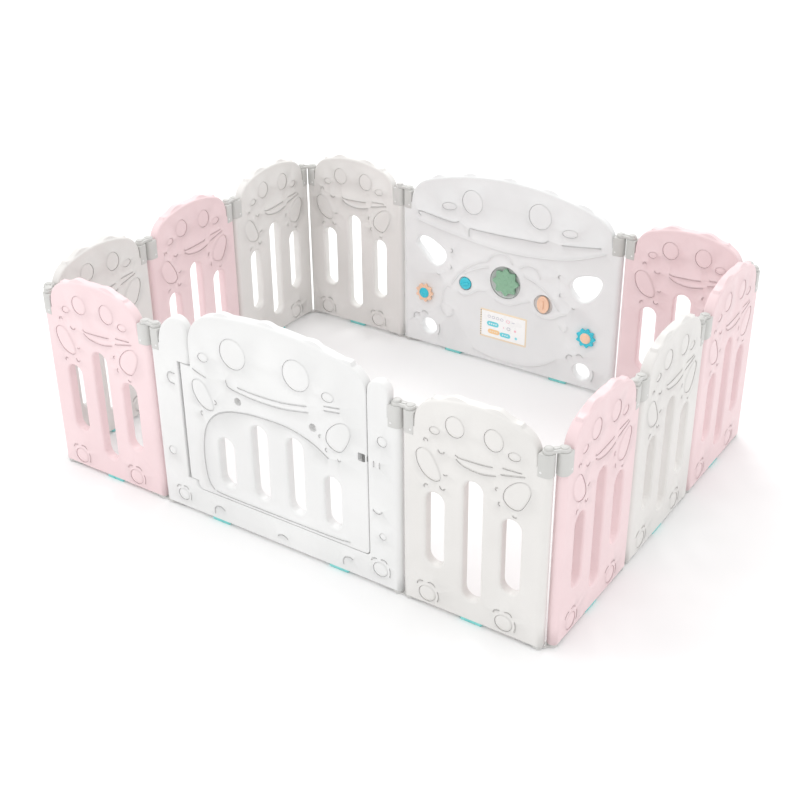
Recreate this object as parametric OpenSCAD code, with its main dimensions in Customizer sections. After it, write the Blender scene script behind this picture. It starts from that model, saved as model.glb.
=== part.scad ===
/* [Layout] */
// Distance between neighbouring hinge links along a wall
panel_pitch = 390; // [340:5:460]
// Distance between the two pins of a hinge link
link_length = 36; // [34:0.5:44]
// Height of the floor side of the moulded panels
floor_gap = 10; // [8:0.5:16]
// Height of the top face of the hinge brackets
hinge_height = 534; // [500:1:620]

/* [Panels] */
// Thickness of every moulded panel
panel_depth = 30; // [26:1:32]
// Wall of the hollow moulded shells
shell_wall = 2.5; // [2:0.1:3.5]
// Height of the crown of a narrow panel above the brackets
narrow_rise = 65; // [60:1:80]
// Radius of the crown of a narrow panel
narrow_crown_radius = 340; // [300:5:500]
// Radius of the shoulders of a narrow panel
narrow_shoulder_radius = 70; // [50:1:80]
// Height of the crown of a wide panel above the brackets
wide_rise = 102; // [90:1:120]
// Radius of the crown of a wide panel
wide_crown_radius = 900; // [800:10:1200]
// Radius of the shoulders of a wide panel
wide_shoulder_radius = 90; // [70:1:100]
// Radius of the lobes along the crowns
lobe_radius = 26; // [20:1:30]
// Height of the lobes above the crown
lobe_rise = 8; // [5:0.5:10]
// Thickness of the lobes
lobe_depth = 18; // [12:1:22]

/* [Slots] */
// Clear width of every upright slot
slot_width = 50; // [36:1:56]
// Distance between the slots of a narrow panel
slot_pitch = 102; // [90:1:110]
// Height of the bottom of the middle slot
long_slot_low = 68; // [50:1:90]
// Height of the top of the middle slot
long_slot_high = 402; // [340:1:420]
// Height of the bottom of the side slots
side_slot_low = 130; // [110:1:160]
// Height of the top of the side slots
side_slot_high = 337; // [280:1:350]

/* [Gate] */
// Distance between the slots of the door
door_slot_pitch = 113; // [100:1:120]
// Height of the top of the two outer slots of the door
door_side_slot_high = 276; // [240:1:300]
// Height of the bottom of the slots of the door
door_slot_low = 127; // [115:1:150]
// Height of the top of the two inner slots of the door
door_slot_high = 348; // [300:1:360]
// Height of the sill's top face
sill_height = 86; // [70:1:95]
// Width of the gate posts
post_width = 91; // [80:1:100]
// Gap between the door and its frame
door_gap = 2; // [1.5:0.1:4]
// Radius of the inner corner of the left post's head
post_corner_radius = 36; // [28:1:42]
// Radius of the door's upper corner over its barrel
door_left_corner = 100; // [80:1:110]
// Radius of the door's upper corner over its latch
door_right_corner = 62; // [50:1:80]
// Height of the underside of the post head above the door's barrel
barrel_top = 460; // [420:1:480]
// Height of the step below the door's barrel
barrel_bottom = 110; // [100:1:130]
// Radius of the pins the door turns on
door_pin_radius = 4; // [3:0.1:5]
// Radius of the two round holes of the door
peep_radius = 11; // [8:0.5:14]
// Height of the two round holes of the door
peep_height = 401; // [380:1:420]
// Distance between the two round holes of the door
peep_distance = 234; // [200:1:260]

/* [Latch] */
// Length of the latch slider
latch_length = 44; // [36:1:50]
// Height of the latch slider
latch_height = 22; // [16:1:26]
// Depth of the latch slider's channel in the door
latch_depth = 12; // [10:0.5:14]
// Height of the latch above the floor
latch_level = 366; // [300:1:420]
// Reach of the latch tongue into the post
latch_reach = 8; // [6:0.5:10]
// Gap between the latch and its channel
latch_gap = 0.4; // [0.3:0.05:0.8]

/* [Hinges] */
// Radius of the hinge pins
pin_radius = 4; // [3:0.1:5]
// Radial gap between the pins and their bores
pin_gap = 0.05; // [0.03:0.01:0.09]
// Wall of the bracket round the panel's end
bracket_wall = 1.2; // [1:0.1:1.6]
// Height of the bracket above the panel's shoulder
bracket_block = 34; // [28:1:40]
// Depth of the bracket's skirt below the shoulder
bracket_skirt = 24; // [16:1:30]
// Thickness of the top link bars
link_bar = 8; // [6:0.5:10]
// Thickness of the bottom link bars
low_link_bar = 3.8; // [3:0.1:4]
// Half width of the link bars
link_radius = 13.5; // [11:0.5:14]
// Radius of the caps on the top pins
cap_radius = 10; // [8:0.5:12]
// Height of the caps on the top pins
cap_height = 6; // [4:0.5:8]
// Gap between a link bar and its brackets
link_gap = 0.3; // [0.2:0.05:0.5]
// Radius of the shanks of the bracket screws
screw_radius = 1.75; // [1.5:0.05:2]

/* [Feet] */
// Length of a non-slip foot pad
pad_length = 60; // [40:1:70]
// Width of a non-slip foot pad
pad_width = 24; // [16:1:26]

/* [Activity board] */
// Radius of the upper pair of holes
upper_hole_radius = 44; // [36:1:48]
// Radius of the lower pair of holes
lower_hole_radius = 27; // [22:1:30]
// Radius of the round recess of the middle gear
recess_radius = 52; // [46:1:56]
// Depth of the round recess of the middle gear
recess_depth = 9; // [7:0.5:11]
// Outer radius of the middle gear
gear_radius = 47; // [40:1:48]
// Outer radius of the two flower gears
flower_radius = 33; // [28:1:36]
// Radius of the caps on the flower gears
flower_cap_radius = 18; // [14:1:19]
// Radius of the round knob
knob_radius = 20; // [16:1:24]
// Half height of the oval knob
oval_radius = 29; // [24:1:32]
// Radius of the axles of the turning toys
axle_radius = 4; // [3:0.1:5]
// Width of the picture card
card_width = 170; // [140:1:180]
// Height of the picture card
card_height = 100; // [80:1:110]

/* [Hidden] */
$fn = 64;
diagonal = link_length / sqrt(2);
narrow_span = panel_pitch - link_length;
wide_span = 2 * panel_pitch - link_length;
half_width = (4 * panel_pitch - link_length) / 2 + diagonal;
half_length = (3 * panel_pitch - link_length) / 2 + diagonal;
half_depth = panel_depth / 2;
bore_radius = pin_radius + pin_gap;

// The panel stands inboard of the brackets by the bracket's own length
bracket_reach = 17;
shoulder_height = hinge_height - bracket_block;
narrow_half = narrow_span / 2 - bracket_reach;
wide_half = wide_span / 2 - bracket_reach;
narrow_crown = hinge_height + narrow_rise;
wide_crown = hinge_height + wide_rise;
blow_hole_radius = 4;

// Centres of the panels: [name, x, y, turn]
narrow_side = wide_span / 2 + link_length + narrow_span / 2;
NARROW = [
    ["front_left", -narrow_side, -half_length, 0],
    ["front_right", narrow_side, -half_length, 0],
    ["right_front", half_width, -panel_pitch, 90],
    ["right_middle", half_width, 0, 90],
    ["right_back", half_width, panel_pitch, 90],
    ["back_right", narrow_side, half_length, 180],
    ["back_left", -narrow_side, half_length, 180],
    ["left_back", -half_width, panel_pitch, 270],
    ["left_middle", -half_width, 0, 270],
    ["left_front", -half_width, -panel_pitch, 270]
];
WIDE = [
    ["gate", 0, -half_length, 0],
    ["board", 0, half_length, 180]
];
PINK = ["front_left", "right_front", "right_back", "back_right", "left_middle"];

// Middles of the hinge links: [name, x, y, turn, has a pin at its far end]
joint_x = (wide_span + link_length) / 2;
corner_x = half_width - diagonal / 2;
corner_y = half_length - diagonal / 2;
LINKS = [
    ["gate_left", -joint_x, -half_length, 180, true],
    ["front_left_corner", -corner_x, -corner_y, 135, true],
    ["left_front", -half_width, -panel_pitch / 2, 90, true],
    ["left_back", -half_width, panel_pitch / 2, 90, true],
    ["back_left_corner", -corner_x, corner_y, 45, true],
    ["board_left", -joint_x, half_length, 0, false],
    ["gate_right", joint_x, -half_length, 0, true],
    ["front_right_corner", corner_x, -corner_y, 45, true],
    ["right_front", half_width, -panel_pitch / 2, 90, true],
    ["right_back", half_width, panel_pitch / 2, 90, true],
    ["back_right_corner", corner_x, corner_y, 135, true],
    ["board_right", joint_x, half_length, 180, true]
];

// Centre of the shoulders of a wide head, to the side and up
wide_side = wide_half - wide_shoulder_radius;
wide_centre = wide_crown - wide_crown_radius;
wide_arm = wide_crown_radius - wide_shoulder_radius;
wide_shoulder = wide_centre + sqrt(wide_arm * wide_arm - wide_side * wide_side);

// The door turns about a pin just inside the left post
door_pivot_x = -wide_span / 2 - half_depth + post_width + door_gap + half_depth;
door_left = door_pivot_x + bracket_reach + 9;
door_step = door_pivot_x + bracket_reach + 2;
door_right = wide_span / 2 + half_depth - post_width - door_gap;
door_middle = (door_step + door_right) / 2;
barrel_clearance = 2;
barrel_height = barrel_top - barrel_bottom - 2 * barrel_clearance;
door_pin_length = 14;
pivot_boss = 9;
sweep_width = 40;
post_right = door_right + door_gap;

// Places of the toys on the board, seen from inside the pen
green_gear_at = [-2, 300];
round_knob_at = [-148, 263];
oval_knob_at = [135, 259];
flower_left_at = [-301, 195];
flower_right_at = [290, 186];
card_at = [-4, 143];
boss_radius = 8;

colour_white = [0.94, 0.94, 0.93];
colour_pink = [0.95, 0.83, 0.84];
colour_grey = [0.76, 0.76, 0.74];
colour_teal = [0.55, 0.85, 0.83];
colour_cyan = [0.2, 0.75, 0.85];
colour_peach = [0.95, 0.78, 0.66];
colour_green = [0.55, 0.73, 0.6];

function names(list, prefix) = [for (entry = list) str(prefix, entry[0])];

module place(spot) {
    translate([spot[1], spot[2], 0])
        rotate(spot[3])
            children();
}

// Extrudes an upright outline through a depth, centred on the panel's middle plane
module upright(depth, shift = 0) {
    translate([0, depth / 2 + shift, 0])
        rotate([90, 0, 0])
            linear_extrude(depth)
                children();
}

// A round-ended upright slot of a given half width
module slot(x, low, high, radius) {
    end = slot_width / 2;
    translate([x, low + end])
        circle(radius);
    translate([x, high - end])
        circle(radius);
    translate([x - radius, low + end])
        square([2 * radius, high - low - 2 * end]);
}

// How far past a shoulder's centre the fan under the crown's arc reaches
fan = 1.4;

// Head of a panel: one large arc that runs smoothly into two round shoulders
module head(half, crown, crown_radius, shoulder_radius, inset) {
    centre = crown - crown_radius;
    side = half - shoulder_radius;
    rise = sqrt(pow(crown_radius - shoulder_radius, 2) - side * side);
    intersection() {
        translate([0, centre])
            circle(crown_radius - inset, $fn = 256);
        translate([-half, floor_gap + inset])
            square([2 * half, crown]);
        union() {
            polygon([[0, centre], fan * [side, rise] + [0, centre], fan * [-side, rise] + [0, centre]]);
            for (x = [-side, side])
                translate([x, centre + rise])
                    circle(shoulder_radius - inset, $fn = 96);
            translate([inset - half, floor_gap + inset])
                square([2 * (half - inset), centre + rise - floor_gap - inset]);
        }
    }
}

module narrow_head(inset) {
    head(narrow_half, narrow_crown, narrow_crown_radius, narrow_shoulder_radius, inset);
}

module wide_head(inset) {
    head(wide_half, wide_crown, wide_crown_radius, wide_shoulder_radius, inset);
}

// Straight body between the pins, up to the shoulders that carry the brackets
module body_outline(span, inset) {
    translate([-span / 2, floor_gap + inset])
        square([span, shoulder_height - floor_gap - 2 * inset]);
}

// Half-round ends of a panel, about the hinge pins
module ends(span, inset, sides = [-1, 1]) {
    for (side = sides)
        translate([side * span / 2, 0, floor_gap + inset])
            cylinder(r = half_depth - inset, h = shoulder_height - floor_gap - 2 * inset);
}

// Small domes along the crown
module lobes(places, crown, crown_radius) {
    centre = crown - crown_radius;
    top = lobe_rise - lobe_radius;
    intersection() {
        upright(lobe_depth)
            for (x = places)
                translate([x, top + centre + sqrt(crown_radius * crown_radius - x * x)])
                    circle(lobe_radius);
        upright(lobe_depth)
            translate([0, crown])
                square([2 * wide_half, 2 * lobe_band], center = true);
    }
}

lobe_band = 81;
narrow_lobes = [-130, -55, 55, 130];
board_lobes = [-256, -140, 0, 140, 256];
door_lobes = [-140, 0, 140, 252];

module narrow_slots(radius) {
    slot(0, long_slot_low, long_slot_high, radius);
    for (x = [-slot_pitch, slot_pitch])
        slot(x, side_slot_low, side_slot_high, radius);
}

// Holes through the shell that the bracket plugs and screws go into
module end_fittings(span, inside) {
    for (side = [-1, 1]) {
        translate([side * span / 2, 0, floor_gap - 1])
            cylinder(r = plug_radius, h = shell_wall + 2);
        translate([side * (span / 2 - screw_inset), 0, screw_height])
            rotate([90, 0, 0])
                cylinder(r = screw_radius, h = panel_depth + 2, center = true);
    }
    for (x = inside)
        translate([x, 0, floor_gap - 1])
            cylinder(r = blow_hole_radius, h = shell_wall + 2);
}

plug_radius = 9;
plug_height = 24;
screw_inset = 9;
screw_height = shoulder_height - bracket_skirt / 2;

// One narrow panel: a hollow moulding with three slots
module narrow_panel(shade) {
    color(shade)
        difference() {
            union() {
                upright(panel_depth)
                    narrow_head(0);
                upright(panel_depth)
                    body_outline(narrow_span, 0);
                ends(narrow_span, 0);
                lobes(narrow_lobes, narrow_crown, narrow_crown_radius);
            }
            difference() {
                union() {
                    upright(panel_depth - 2 * shell_wall)
                        narrow_head(shell_wall);
                    upright(panel_depth - 2 * shell_wall)
                        body_outline(narrow_span, shell_wall);
                    ends(narrow_span, shell_wall);
                }
                upright(panel_depth)
                    narrow_slots(slot_width / 2 + shell_wall);
            }
            upright(panel_depth + 2)
                narrow_slots(slot_width / 2);
            end_fittings(narrow_span, [60]);
        }
}

// Hinge brackets and their screws at both ends of a panel
module brackets(span) {
    color(colour_grey)
        for (side = [-1, 1])
            translate([side * span / 2, 0, 0])
                rotate(side < 0 ? 0 : 180) {
                    top_bracket();
                    low_bracket();
                    screws();
                }
}

// The bracket's plan: a half-round end and a straight part towards the panel
module bracket_plan(radius) {
    circle(radius);
    translate([0, -radius])
        square([bracket_reach, 2 * radius]);
}

module top_bracket() {
    outer = half_depth + bracket_wall;
    difference() {
        translate([0, 0, shoulder_height - bracket_skirt])
            linear_extrude(bracket_block + bracket_skirt)
                bracket_plan(outer);
        translate([0, 0, shoulder_height - bracket_skirt - 1])
            linear_extrude(bracket_skirt + 1) {
                circle(half_depth);
                translate([0, -half_depth])
                    square([bracket_reach + 1, panel_depth]);
            }
        translate([0, 0, hinge_height - pin_depth - 1])
            cylinder(r = bore_radius, h = pin_depth + 2);
        translate([screw_inset, 0, screw_height])
            rotate([90, 0, 0])
                cylinder(r = screw_radius, h = 3 * panel_depth, center = true);
    }
}

floor_clearance = 0.9 - link_gap;
low_plate = floor_gap - low_link_bar - 2 * link_gap - floor_clearance;
low_plate_reach = 40;
pin_depth = 22;

module low_bracket() {
    difference() {
        union() {
            translate([0, 0, floor_gap - low_plate])
                cylinder(r = link_radius, h = low_plate);
            translate([0, -link_radius + 3, floor_gap - low_plate])
                cube([low_plate_reach, 2 * (link_radius - 3), low_plate]);
            translate([0, 0, floor_gap - low_plate])
                cylinder(r = plug_radius, h = low_plate + plug_height);
        }
        translate([0, 0, floor_gap - low_plate - 1])
            cylinder(r = bore_radius, h = pin_depth + 1);
    }
}

screw_head_radius = 3;
screw_head = 0.8;
screw_length = 7;

// One screw through each side of the top bracket into the panel's wall
module screws() {
    for (side = [0, 180])
        translate([screw_inset, 0, screw_height])
            rotate([side - 90, 0, 0])
                translate([0, 0, half_depth + bracket_wall]) {
                    cylinder(r = screw_head_radius, h = screw_head);
                    translate([0, 0, -screw_length])
                        cylinder(r = screw_radius, h = screw_length);
                }
}

// Non-slip pads under a panel
module pads(places) {
    color(colour_teal)
        for (x = places) {
            translate([x - pad_length / 2, -pad_width / 2, 0])
                cube([pad_length, pad_width, floor_gap]);
        }
}

// A hinge link: a bar and two capped pins above, a bar and two pins below
module link(far_pin) {
    top = hinge_height + link_gap;
    low = floor_gap - low_plate - link_gap;
    color(colour_grey) {
        link_bar_body(top, link_bar);
        link_bar_body(low - low_link_bar, low_link_bar);
        for (side = [-1, 1])
            translate([side * link_length / 2, 0, 0]) {
                depth = (side > 0 && !far_pin) ? 0 : pin_depth - 2;
                translate([0, 0, top - depth])
                    cylinder(r = pin_radius, h = link_bar + depth);
                translate([0, 0, top + link_bar])
                    cylinder(r = cap_radius, h = cap_height);
                translate([0, 0, low - low_link_bar])
                    cylinder(r = pin_radius, h = low_link_bar + (depth > 0 ? pin_depth - 4 : 0));
            }
    }
}

link_waist = 1.4;

module link_bar_body(base, thickness) {
    translate([0, 0, base])
        linear_extrude(thickness)
            difference() {
                union() {
                    for (side = [-1, 1])
                        translate([side * link_length / 2, 0])
                            circle(link_radius);
                    square([link_length, link_waist * link_radius], center = true);
                }
                for (side = [-1, 1])
                    translate([side * link_length / 2, 0])
                        circle(pin_radius);
            }
}

// Left and right posts and the sill of the gate, as one outline
module frame_outline(inset) {
    left = -wide_span / 2;
    right = wide_span / 2;
    low = floor_gap + inset;
    post_edge = door_pivot_x - half_depth - door_gap;
    translate([left, low])
        square([post_edge - inset - left, shoulder_height - inset - low]);
    translate([post_right + inset, low])
        square([right - post_right - inset, shoulder_height - inset - low]);
    translate([left, low])
        square([right - left, sill_height - inset - low]);
    translate([left, low])
        square([door_step - door_gap - inset - left, barrel_bottom - inset - low]);
    left_post_head(inset);
    right_post_head(inset);
}

// Head of the left post: the wide shoulder, then a smaller round corner over the door
module left_post_head(inset) {
    arm = wide_shoulder_radius - post_corner_radius;
    x = door_left - door_gap - post_corner_radius;
    z = wide_shoulder + sqrt(arm * arm - pow(x + wide_side, 2));
    meet = -wide_side + (wide_shoulder_radius - inset) * (x + wide_side) / arm;
    translate([x, z])
        circle(post_corner_radius - inset);
    translate([-wide_half + inset, barrel_top + inset])
        square([wide_half + door_left - door_gap - 2 * inset, z - barrel_top - inset]);
    intersection() {
        wide_head(inset);
        translate([-wide_half + inset, barrel_top + inset])
            square([meet + wide_half - inset, wide_crown]);
    }
}

// Head of the right post: a full round end as high as the left one
module right_post_head(inset) {
    radius = (wide_half - post_right) / 2;
    arm = wide_shoulder_radius - post_corner_radius;
    rise = sqrt(arm * arm - pow(door_left - door_gap - post_corner_radius + wide_side, 2));
    z = wide_shoulder + rise + post_corner_radius - radius;
    translate([post_right + radius, z])
        circle(radius - inset);
    translate([post_right + inset, shoulder_height - 2 * shell_wall])
        square([2 * (radius - inset), z - shoulder_height + 2 * shell_wall]);
}

// Room for the door's edges as it swings: everything outside a radius about its pins
module door_sweep(low, high, radius) {
    translate([door_pivot_x, 0, low])
        difference() {
            translate([0, -half_depth - 1, 0])
                cube([sweep_width, panel_depth + 2, high - low]);
            translate([0, 0, -1])
                cylinder(r = radius, h = high - low + 2);
        }
}

module frame_sweeps(wall) {
    door_sweep(barrel_top - 1, wide_crown, door_left - door_gap - door_pivot_x - wall);
    door_sweep(sill_height - wall, barrel_bottom + 1, door_step - door_gap - door_pivot_x - wall);
}

module gate_frame() {
    color(colour_white)
        difference() {
            union() {
                upright(panel_depth)
                    frame_outline(0);
                ends(wide_span, 0);
            }
            frame_sweeps(0);
            difference() {
                union() {
                    upright(panel_depth - 2 * shell_wall)
                        frame_outline(shell_wall);
                    ends(wide_span, shell_wall);
                }
                // Solid bosses round the door's two pins
                translate([door_pivot_x, 0, 0])
                    cylinder(r = pivot_boss, h = barrel_bottom);
                translate([door_pivot_x, 0, barrel_top])
                    cylinder(r = pivot_boss, h = door_pin_length + 4);
                // Solid block round the latch pocket
                translate([post_right, -half_depth, latch_level - latch_height])
                    cube([latch_reach + 2 + shell_wall, panel_depth, 2 * latch_height]);
                frame_sweeps(shell_wall);
            }
            translate([door_pivot_x, 0, barrel_bottom - door_pin_length])
                cylinder(r = door_pin_radius, h = door_pin_length + 1);
            translate([door_pivot_x, 0, barrel_top - 1])
                cylinder(r = door_pin_radius, h = door_pin_length + 1);
            latch_space(post_right - 1, latch_reach + 3, latch_gap + 1);
            end_fittings(wide_span, [-320, 340]);
        }
}

// A box round the latch slider, used for its channel and its pocket
module latch_space(x, length, gap) {
    tongue = latch_height - 8;
    translate([x, -half_depth - 1, latch_level - tongue / 2 - gap])
        cube([length, latch_depth + 1 + gap, tongue + 2 * gap]);
}

// The door's outline, with its barrel strip on the left
module door_outline(inset) {
    door_head(inset);
    translate([door_pivot_x, barrel_bottom + barrel_clearance + inset])
        square([door_right - inset - door_pivot_x, barrel_height - 2 * inset]);
    translate([door_step + inset, sill_height + door_gap + inset])
        square([door_right - door_step - 2 * inset, barrel_bottom]);
}

// The door between its upright edges, with round upper corners under the crown's arc
module door_head(inset) {
    low = sill_height + door_gap + inset;
    left_x = door_left + door_left_corner;
    left_z = wide_centre + sqrt(pow(wide_crown_radius - door_left_corner, 2) - left_x * left_x);
    right_x = door_right - door_right_corner;
    right_z = wide_centre + sqrt(pow(wide_crown_radius - door_right_corner, 2) - right_x * right_x);
    intersection() {
        translate([0, wide_centre])
            circle(wide_crown_radius - inset, $fn = 256);
        translate([door_left + inset, low])
            square([door_right - door_left - 2 * inset, wide_crown]);
        union() {
            polygon([
                [0, wide_centre],
                [right_x * fan, wide_centre + (right_z - wide_centre) * fan],
                [left_x * fan, wide_centre + (left_z - wide_centre) * fan]
            ]);
            translate([left_x, left_z])
                circle(door_left_corner - inset, $fn = 96);
            translate([right_x, right_z])
                circle(door_right_corner - inset, $fn = 96);
            translate([door_left + inset, low])
                square([door_right - door_left - 2 * inset, min(left_z, right_z) - low]);
            translate([0, low])
                square([door_right - inset, right_z - low]);
        }
    }
}

module door_slots(radius) {
    for (step = [-1.5, 1.5])
        slot(door_middle + step * door_slot_pitch, door_slot_low, door_side_slot_high, radius);
    for (step = [-0.5, 0.5])
        slot(door_middle + step * door_slot_pitch, door_slot_low, door_slot_high, radius);
}

module peep_holes(radius) {
    for (side = [-1, 1])
        translate([door_middle + side * peep_distance / 2, peep_height])
            circle(radius);
}

module barrel(inset) {
    translate([door_pivot_x, 0, barrel_bottom + barrel_clearance + inset])
        cylinder(r = half_depth - inset, h = barrel_height - 2 * inset);
}

module gate_door() {
    channel = latch_length - latch_reach + 12;
    color(colour_white)
        difference() {
            union() {
                upright(panel_depth)
                    door_outline(0);
                barrel(0);
                lobes(door_lobes, wide_crown, wide_crown_radius);
            }
            difference() {
                union() {
                    upright(panel_depth - 2 * shell_wall)
                        door_outline(shell_wall);
                    barrel(shell_wall);
                }
                upright(panel_depth) {
                    door_slots(slot_width / 2 + shell_wall);
                    peep_holes(peep_radius + shell_wall);
                }
                // Solid boss round the door's two pins
                translate([door_pivot_x, 0, barrel_bottom])
                    cylinder(r = pivot_boss, h = barrel_top - barrel_bottom);
                // Solid block round the latch channel
                translate([door_right - channel - shell_wall, -half_depth, latch_level - latch_height])
                    cube([channel + shell_wall, latch_depth + 2 * shell_wall, 2 * latch_height]);
            }
            upright(panel_depth + 2) {
                door_slots(slot_width / 2);
                peep_holes(peep_radius);
            }
            for (z = [barrel_bottom, barrel_top - door_pin_length - 2])
                translate([door_pivot_x, 0, z - 1])
                    cylinder(r = door_pin_radius + pin_gap, h = door_pin_length + 4);
            translate([door_right - channel, -half_depth - 1, latch_level - latch_height / 2 - latch_gap])
                cube([channel - shell_wall, latch_depth + 1 + latch_gap, latch_height + 2 * latch_gap]);
            latch_space(door_right - channel + 1, channel + 5, latch_gap);
            translate([door_middle, 0, sill_height + door_gap - 1])
                cylinder(r = blow_hole_radius, h = shell_wall + 2);
        }
}

// The two steel pins that the door turns on
module door_pins() {
    color(colour_grey)
        for (z = [barrel_bottom - door_pin_length, barrel_top - door_pin_length])
            translate([door_pivot_x, 0, z])
                cylinder(r = door_pin_radius, h = 2 * door_pin_length);
}

// The sliding latch: a body in the door's channel and a tongue into the post
module door_latch() {
    body = latch_length - latch_reach - door_gap - shell_wall - latch_gap;
    tongue = latch_height - 8;
    body_right = door_right - shell_wall - latch_gap;
    color(colour_grey)
        translate([0, -half_depth, latch_level]) {
            translate([body_right - body, 0, -latch_height / 2])
                cube([body, latch_depth, latch_height]);
            translate([body_right - 1, 0, -tongue / 2])
                cube([shell_wall + latch_gap + door_gap + latch_reach + 1, latch_depth, tongue]);
            // Finger ridges
            for (x = [8, 14, 20])
                translate([body_right - body + x, -1.5, -latch_height / 2 + 4])
                    cube([2, 3, latch_height - 8]);
        }
}

// Moves children from the board's inner view onto its face
module on_board(at) {
    translate([-at[0], half_depth, at[1]])
        rotate([-90, 0, 0])
            children();
}

upper_hole_at = [[-272, 352], [277, 346]];
lower_hole_at = [[-287, 74], [278, 62]];

module board_holes(extra) {
    for (at = upper_hole_at)
        translate([-at[0], at[1]])
            circle(upper_hole_radius + extra);
    for (at = lower_hole_at)
        translate([-at[0], at[1]])
            circle(lower_hole_radius + extra);
}

toy_axles = [green_gear_at, round_knob_at, oval_knob_at, flower_left_at, flower_right_at];
card_recess = 1.5;
card_gap = 0.4;
axle_length = 14;

module activity_board() {
    color(colour_white)
        difference() {
            union() {
                upright(panel_depth)
                    wide_head(0);
                upright(panel_depth)
                    body_outline(wide_span, 0);
                ends(wide_span, 0);
                lobes(board_lobes, wide_crown, wide_crown_radius);
            }
            difference() {
                union() {
                    upright(panel_depth - 2 * shell_wall)
                        wide_head(shell_wall);
                    upright(panel_depth - 2 * shell_wall)
                        body_outline(wide_span, shell_wall);
                    ends(wide_span, shell_wall);
                }
                upright(panel_depth)
                    board_holes(shell_wall);
                for (at = toy_axles)
                    on_board(at)
                        translate([0, 0, -panel_depth])
                            cylinder(r = boss_radius, h = panel_depth);
                on_board(green_gear_at)
                    translate([0, 0, -recess_depth - shell_wall])
                        cylinder(r = recess_radius + shell_wall, h = recess_depth + shell_wall);
                on_board(oval_knob_at)
                    translate([0, 0, -knob_recess - shell_wall])
                        cylinder(r = oval_radius + knob_rim + shell_wall, h = knob_recess + shell_wall);
                on_board(round_knob_at)
                    translate([0, 0, -knob_recess - shell_wall])
                        cylinder(r = knob_radius + knob_rim + shell_wall, h = knob_recess + shell_wall);
            }
            upright(panel_depth + 2)
                board_holes(0);
            for (at = toy_axles)
                on_board(at)
                    translate([0, 0, -axle_length - 8])
                        cylinder(r = axle_radius + pin_gap, h = axle_length + 20);
            on_board(green_gear_at)
                translate([0, 0, -recess_depth])
                    cylinder(r = recess_radius, h = recess_depth + 1);
            on_board(round_knob_at)
                translate([0, 0, -knob_recess])
                    cylinder(r = knob_radius + knob_rim, h = knob_recess + 1);
            on_board(oval_knob_at)
                translate([0, 0, -knob_recess])
                    cylinder(r = oval_radius + knob_rim, h = knob_recess + 1);
            on_board(card_at)
                translate([-card_width / 2 - card_gap, -card_height / 2 - card_gap, -card_recess])
                    cube([card_width + 2 * card_gap, card_height + 2 * card_gap, card_recess + 1]);
            end_fittings(wide_span, [-180, 180]);
        }
}

knob_recess = 4;
knob_rim = 2.5;
oval_squash = 0.72;
toy_gap = 0.5;

// An oval made of four arcs: two end circles and two flat sides
module oval(radius) {
    end = radius * oval_squash;
    flat = 3 * radius;
    circle_shift = radius - end;
    bulge = flat - end;
    intersection() {
        union() {
            for (side = [-1, 1])
                translate([0, side * circle_shift])
                    circle(end);
            square([2 * end, 2 * circle_shift], center = true);
        }
        intersection() {
            translate([bulge, 0])
                circle(flat, $fn = 128);
            translate([-bulge, 0])
                circle(flat, $fn = 128);
        }
    }
}

gear_lobes = 8;
gear_lobe_radius = 9;

// Rounded teeth round a hub
module toothed(radius, tooth_radius, teeth) {
    circle(radius - tooth_radius);
    for (turn = [0 : teeth - 1])
        rotate(turn * 360 / teeth)
            translate([radius - tooth_radius, 0])
                circle(tooth_radius);
}

module axle() {
    translate([0, 0, -axle_length])
        cylinder(r = axle_radius, h = axle_length + 1);
}

module green_gear() {
    color(colour_green)
        place(WIDE[1])
            on_board(green_gear_at) {
                translate([0, 0, -recess_depth + toy_gap])
                    linear_extrude(recess_depth - toy_gap + 1.5)
                        toothed(gear_radius, gear_lobe_radius, gear_lobes);
                translate([0, 0, -recess_depth + 1])
                    axle();
            }
}

module round_knob() {
    color(colour_cyan)
        place(WIDE[1])
            on_board(round_knob_at) {
                translate([0, 0, -knob_recess + toy_gap])
                    cylinder(r = knob_radius, h = knob_recess - toy_gap + 4);
                translate([-knob_radius + 3, -4, 0])
                    cube([2 * knob_radius - 6, 8, 9]);
                axle();
            }
}

module oval_knob() {
    color(colour_peach)
        place(WIDE[1])
            on_board(oval_knob_at) {
                translate([0, 0, -knob_recess + toy_gap])
                    linear_extrude(knob_recess - toy_gap + 4)
                        oval(oval_radius);
                translate([-3, -oval_radius / 2, 0])
                    cube([6, oval_radius, 7]);
                axle();
            }
}

flower_depth = 8;
flower_teeth = 9;
flower_tooth_radius = 6.5;
cap_rise = 5;

module flower_gear(at, shade) {
    color(shade)
        place(WIDE[1])
            on_board(at) {
                translate([0, 0, toy_gap])
                    linear_extrude(flower_depth)
                        toothed(flower_radius, flower_tooth_radius, flower_teeth);
                axle();
            }
}

module flower_cap(at, shade) {
    color(shade)
        place(WIDE[1])
            on_board(at)
                translate([0, 0, toy_gap + flower_depth])
                    cylinder(r = flower_cap_radius, h = cap_rise);
}

module picture_card() {
    color("ivory")
        place(WIDE[1])
            on_board(card_at)
                translate([-card_width / 2, -card_height / 2, -card_recess])
                    cube([card_width, card_height, card_recess + 0.6]);
}

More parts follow.
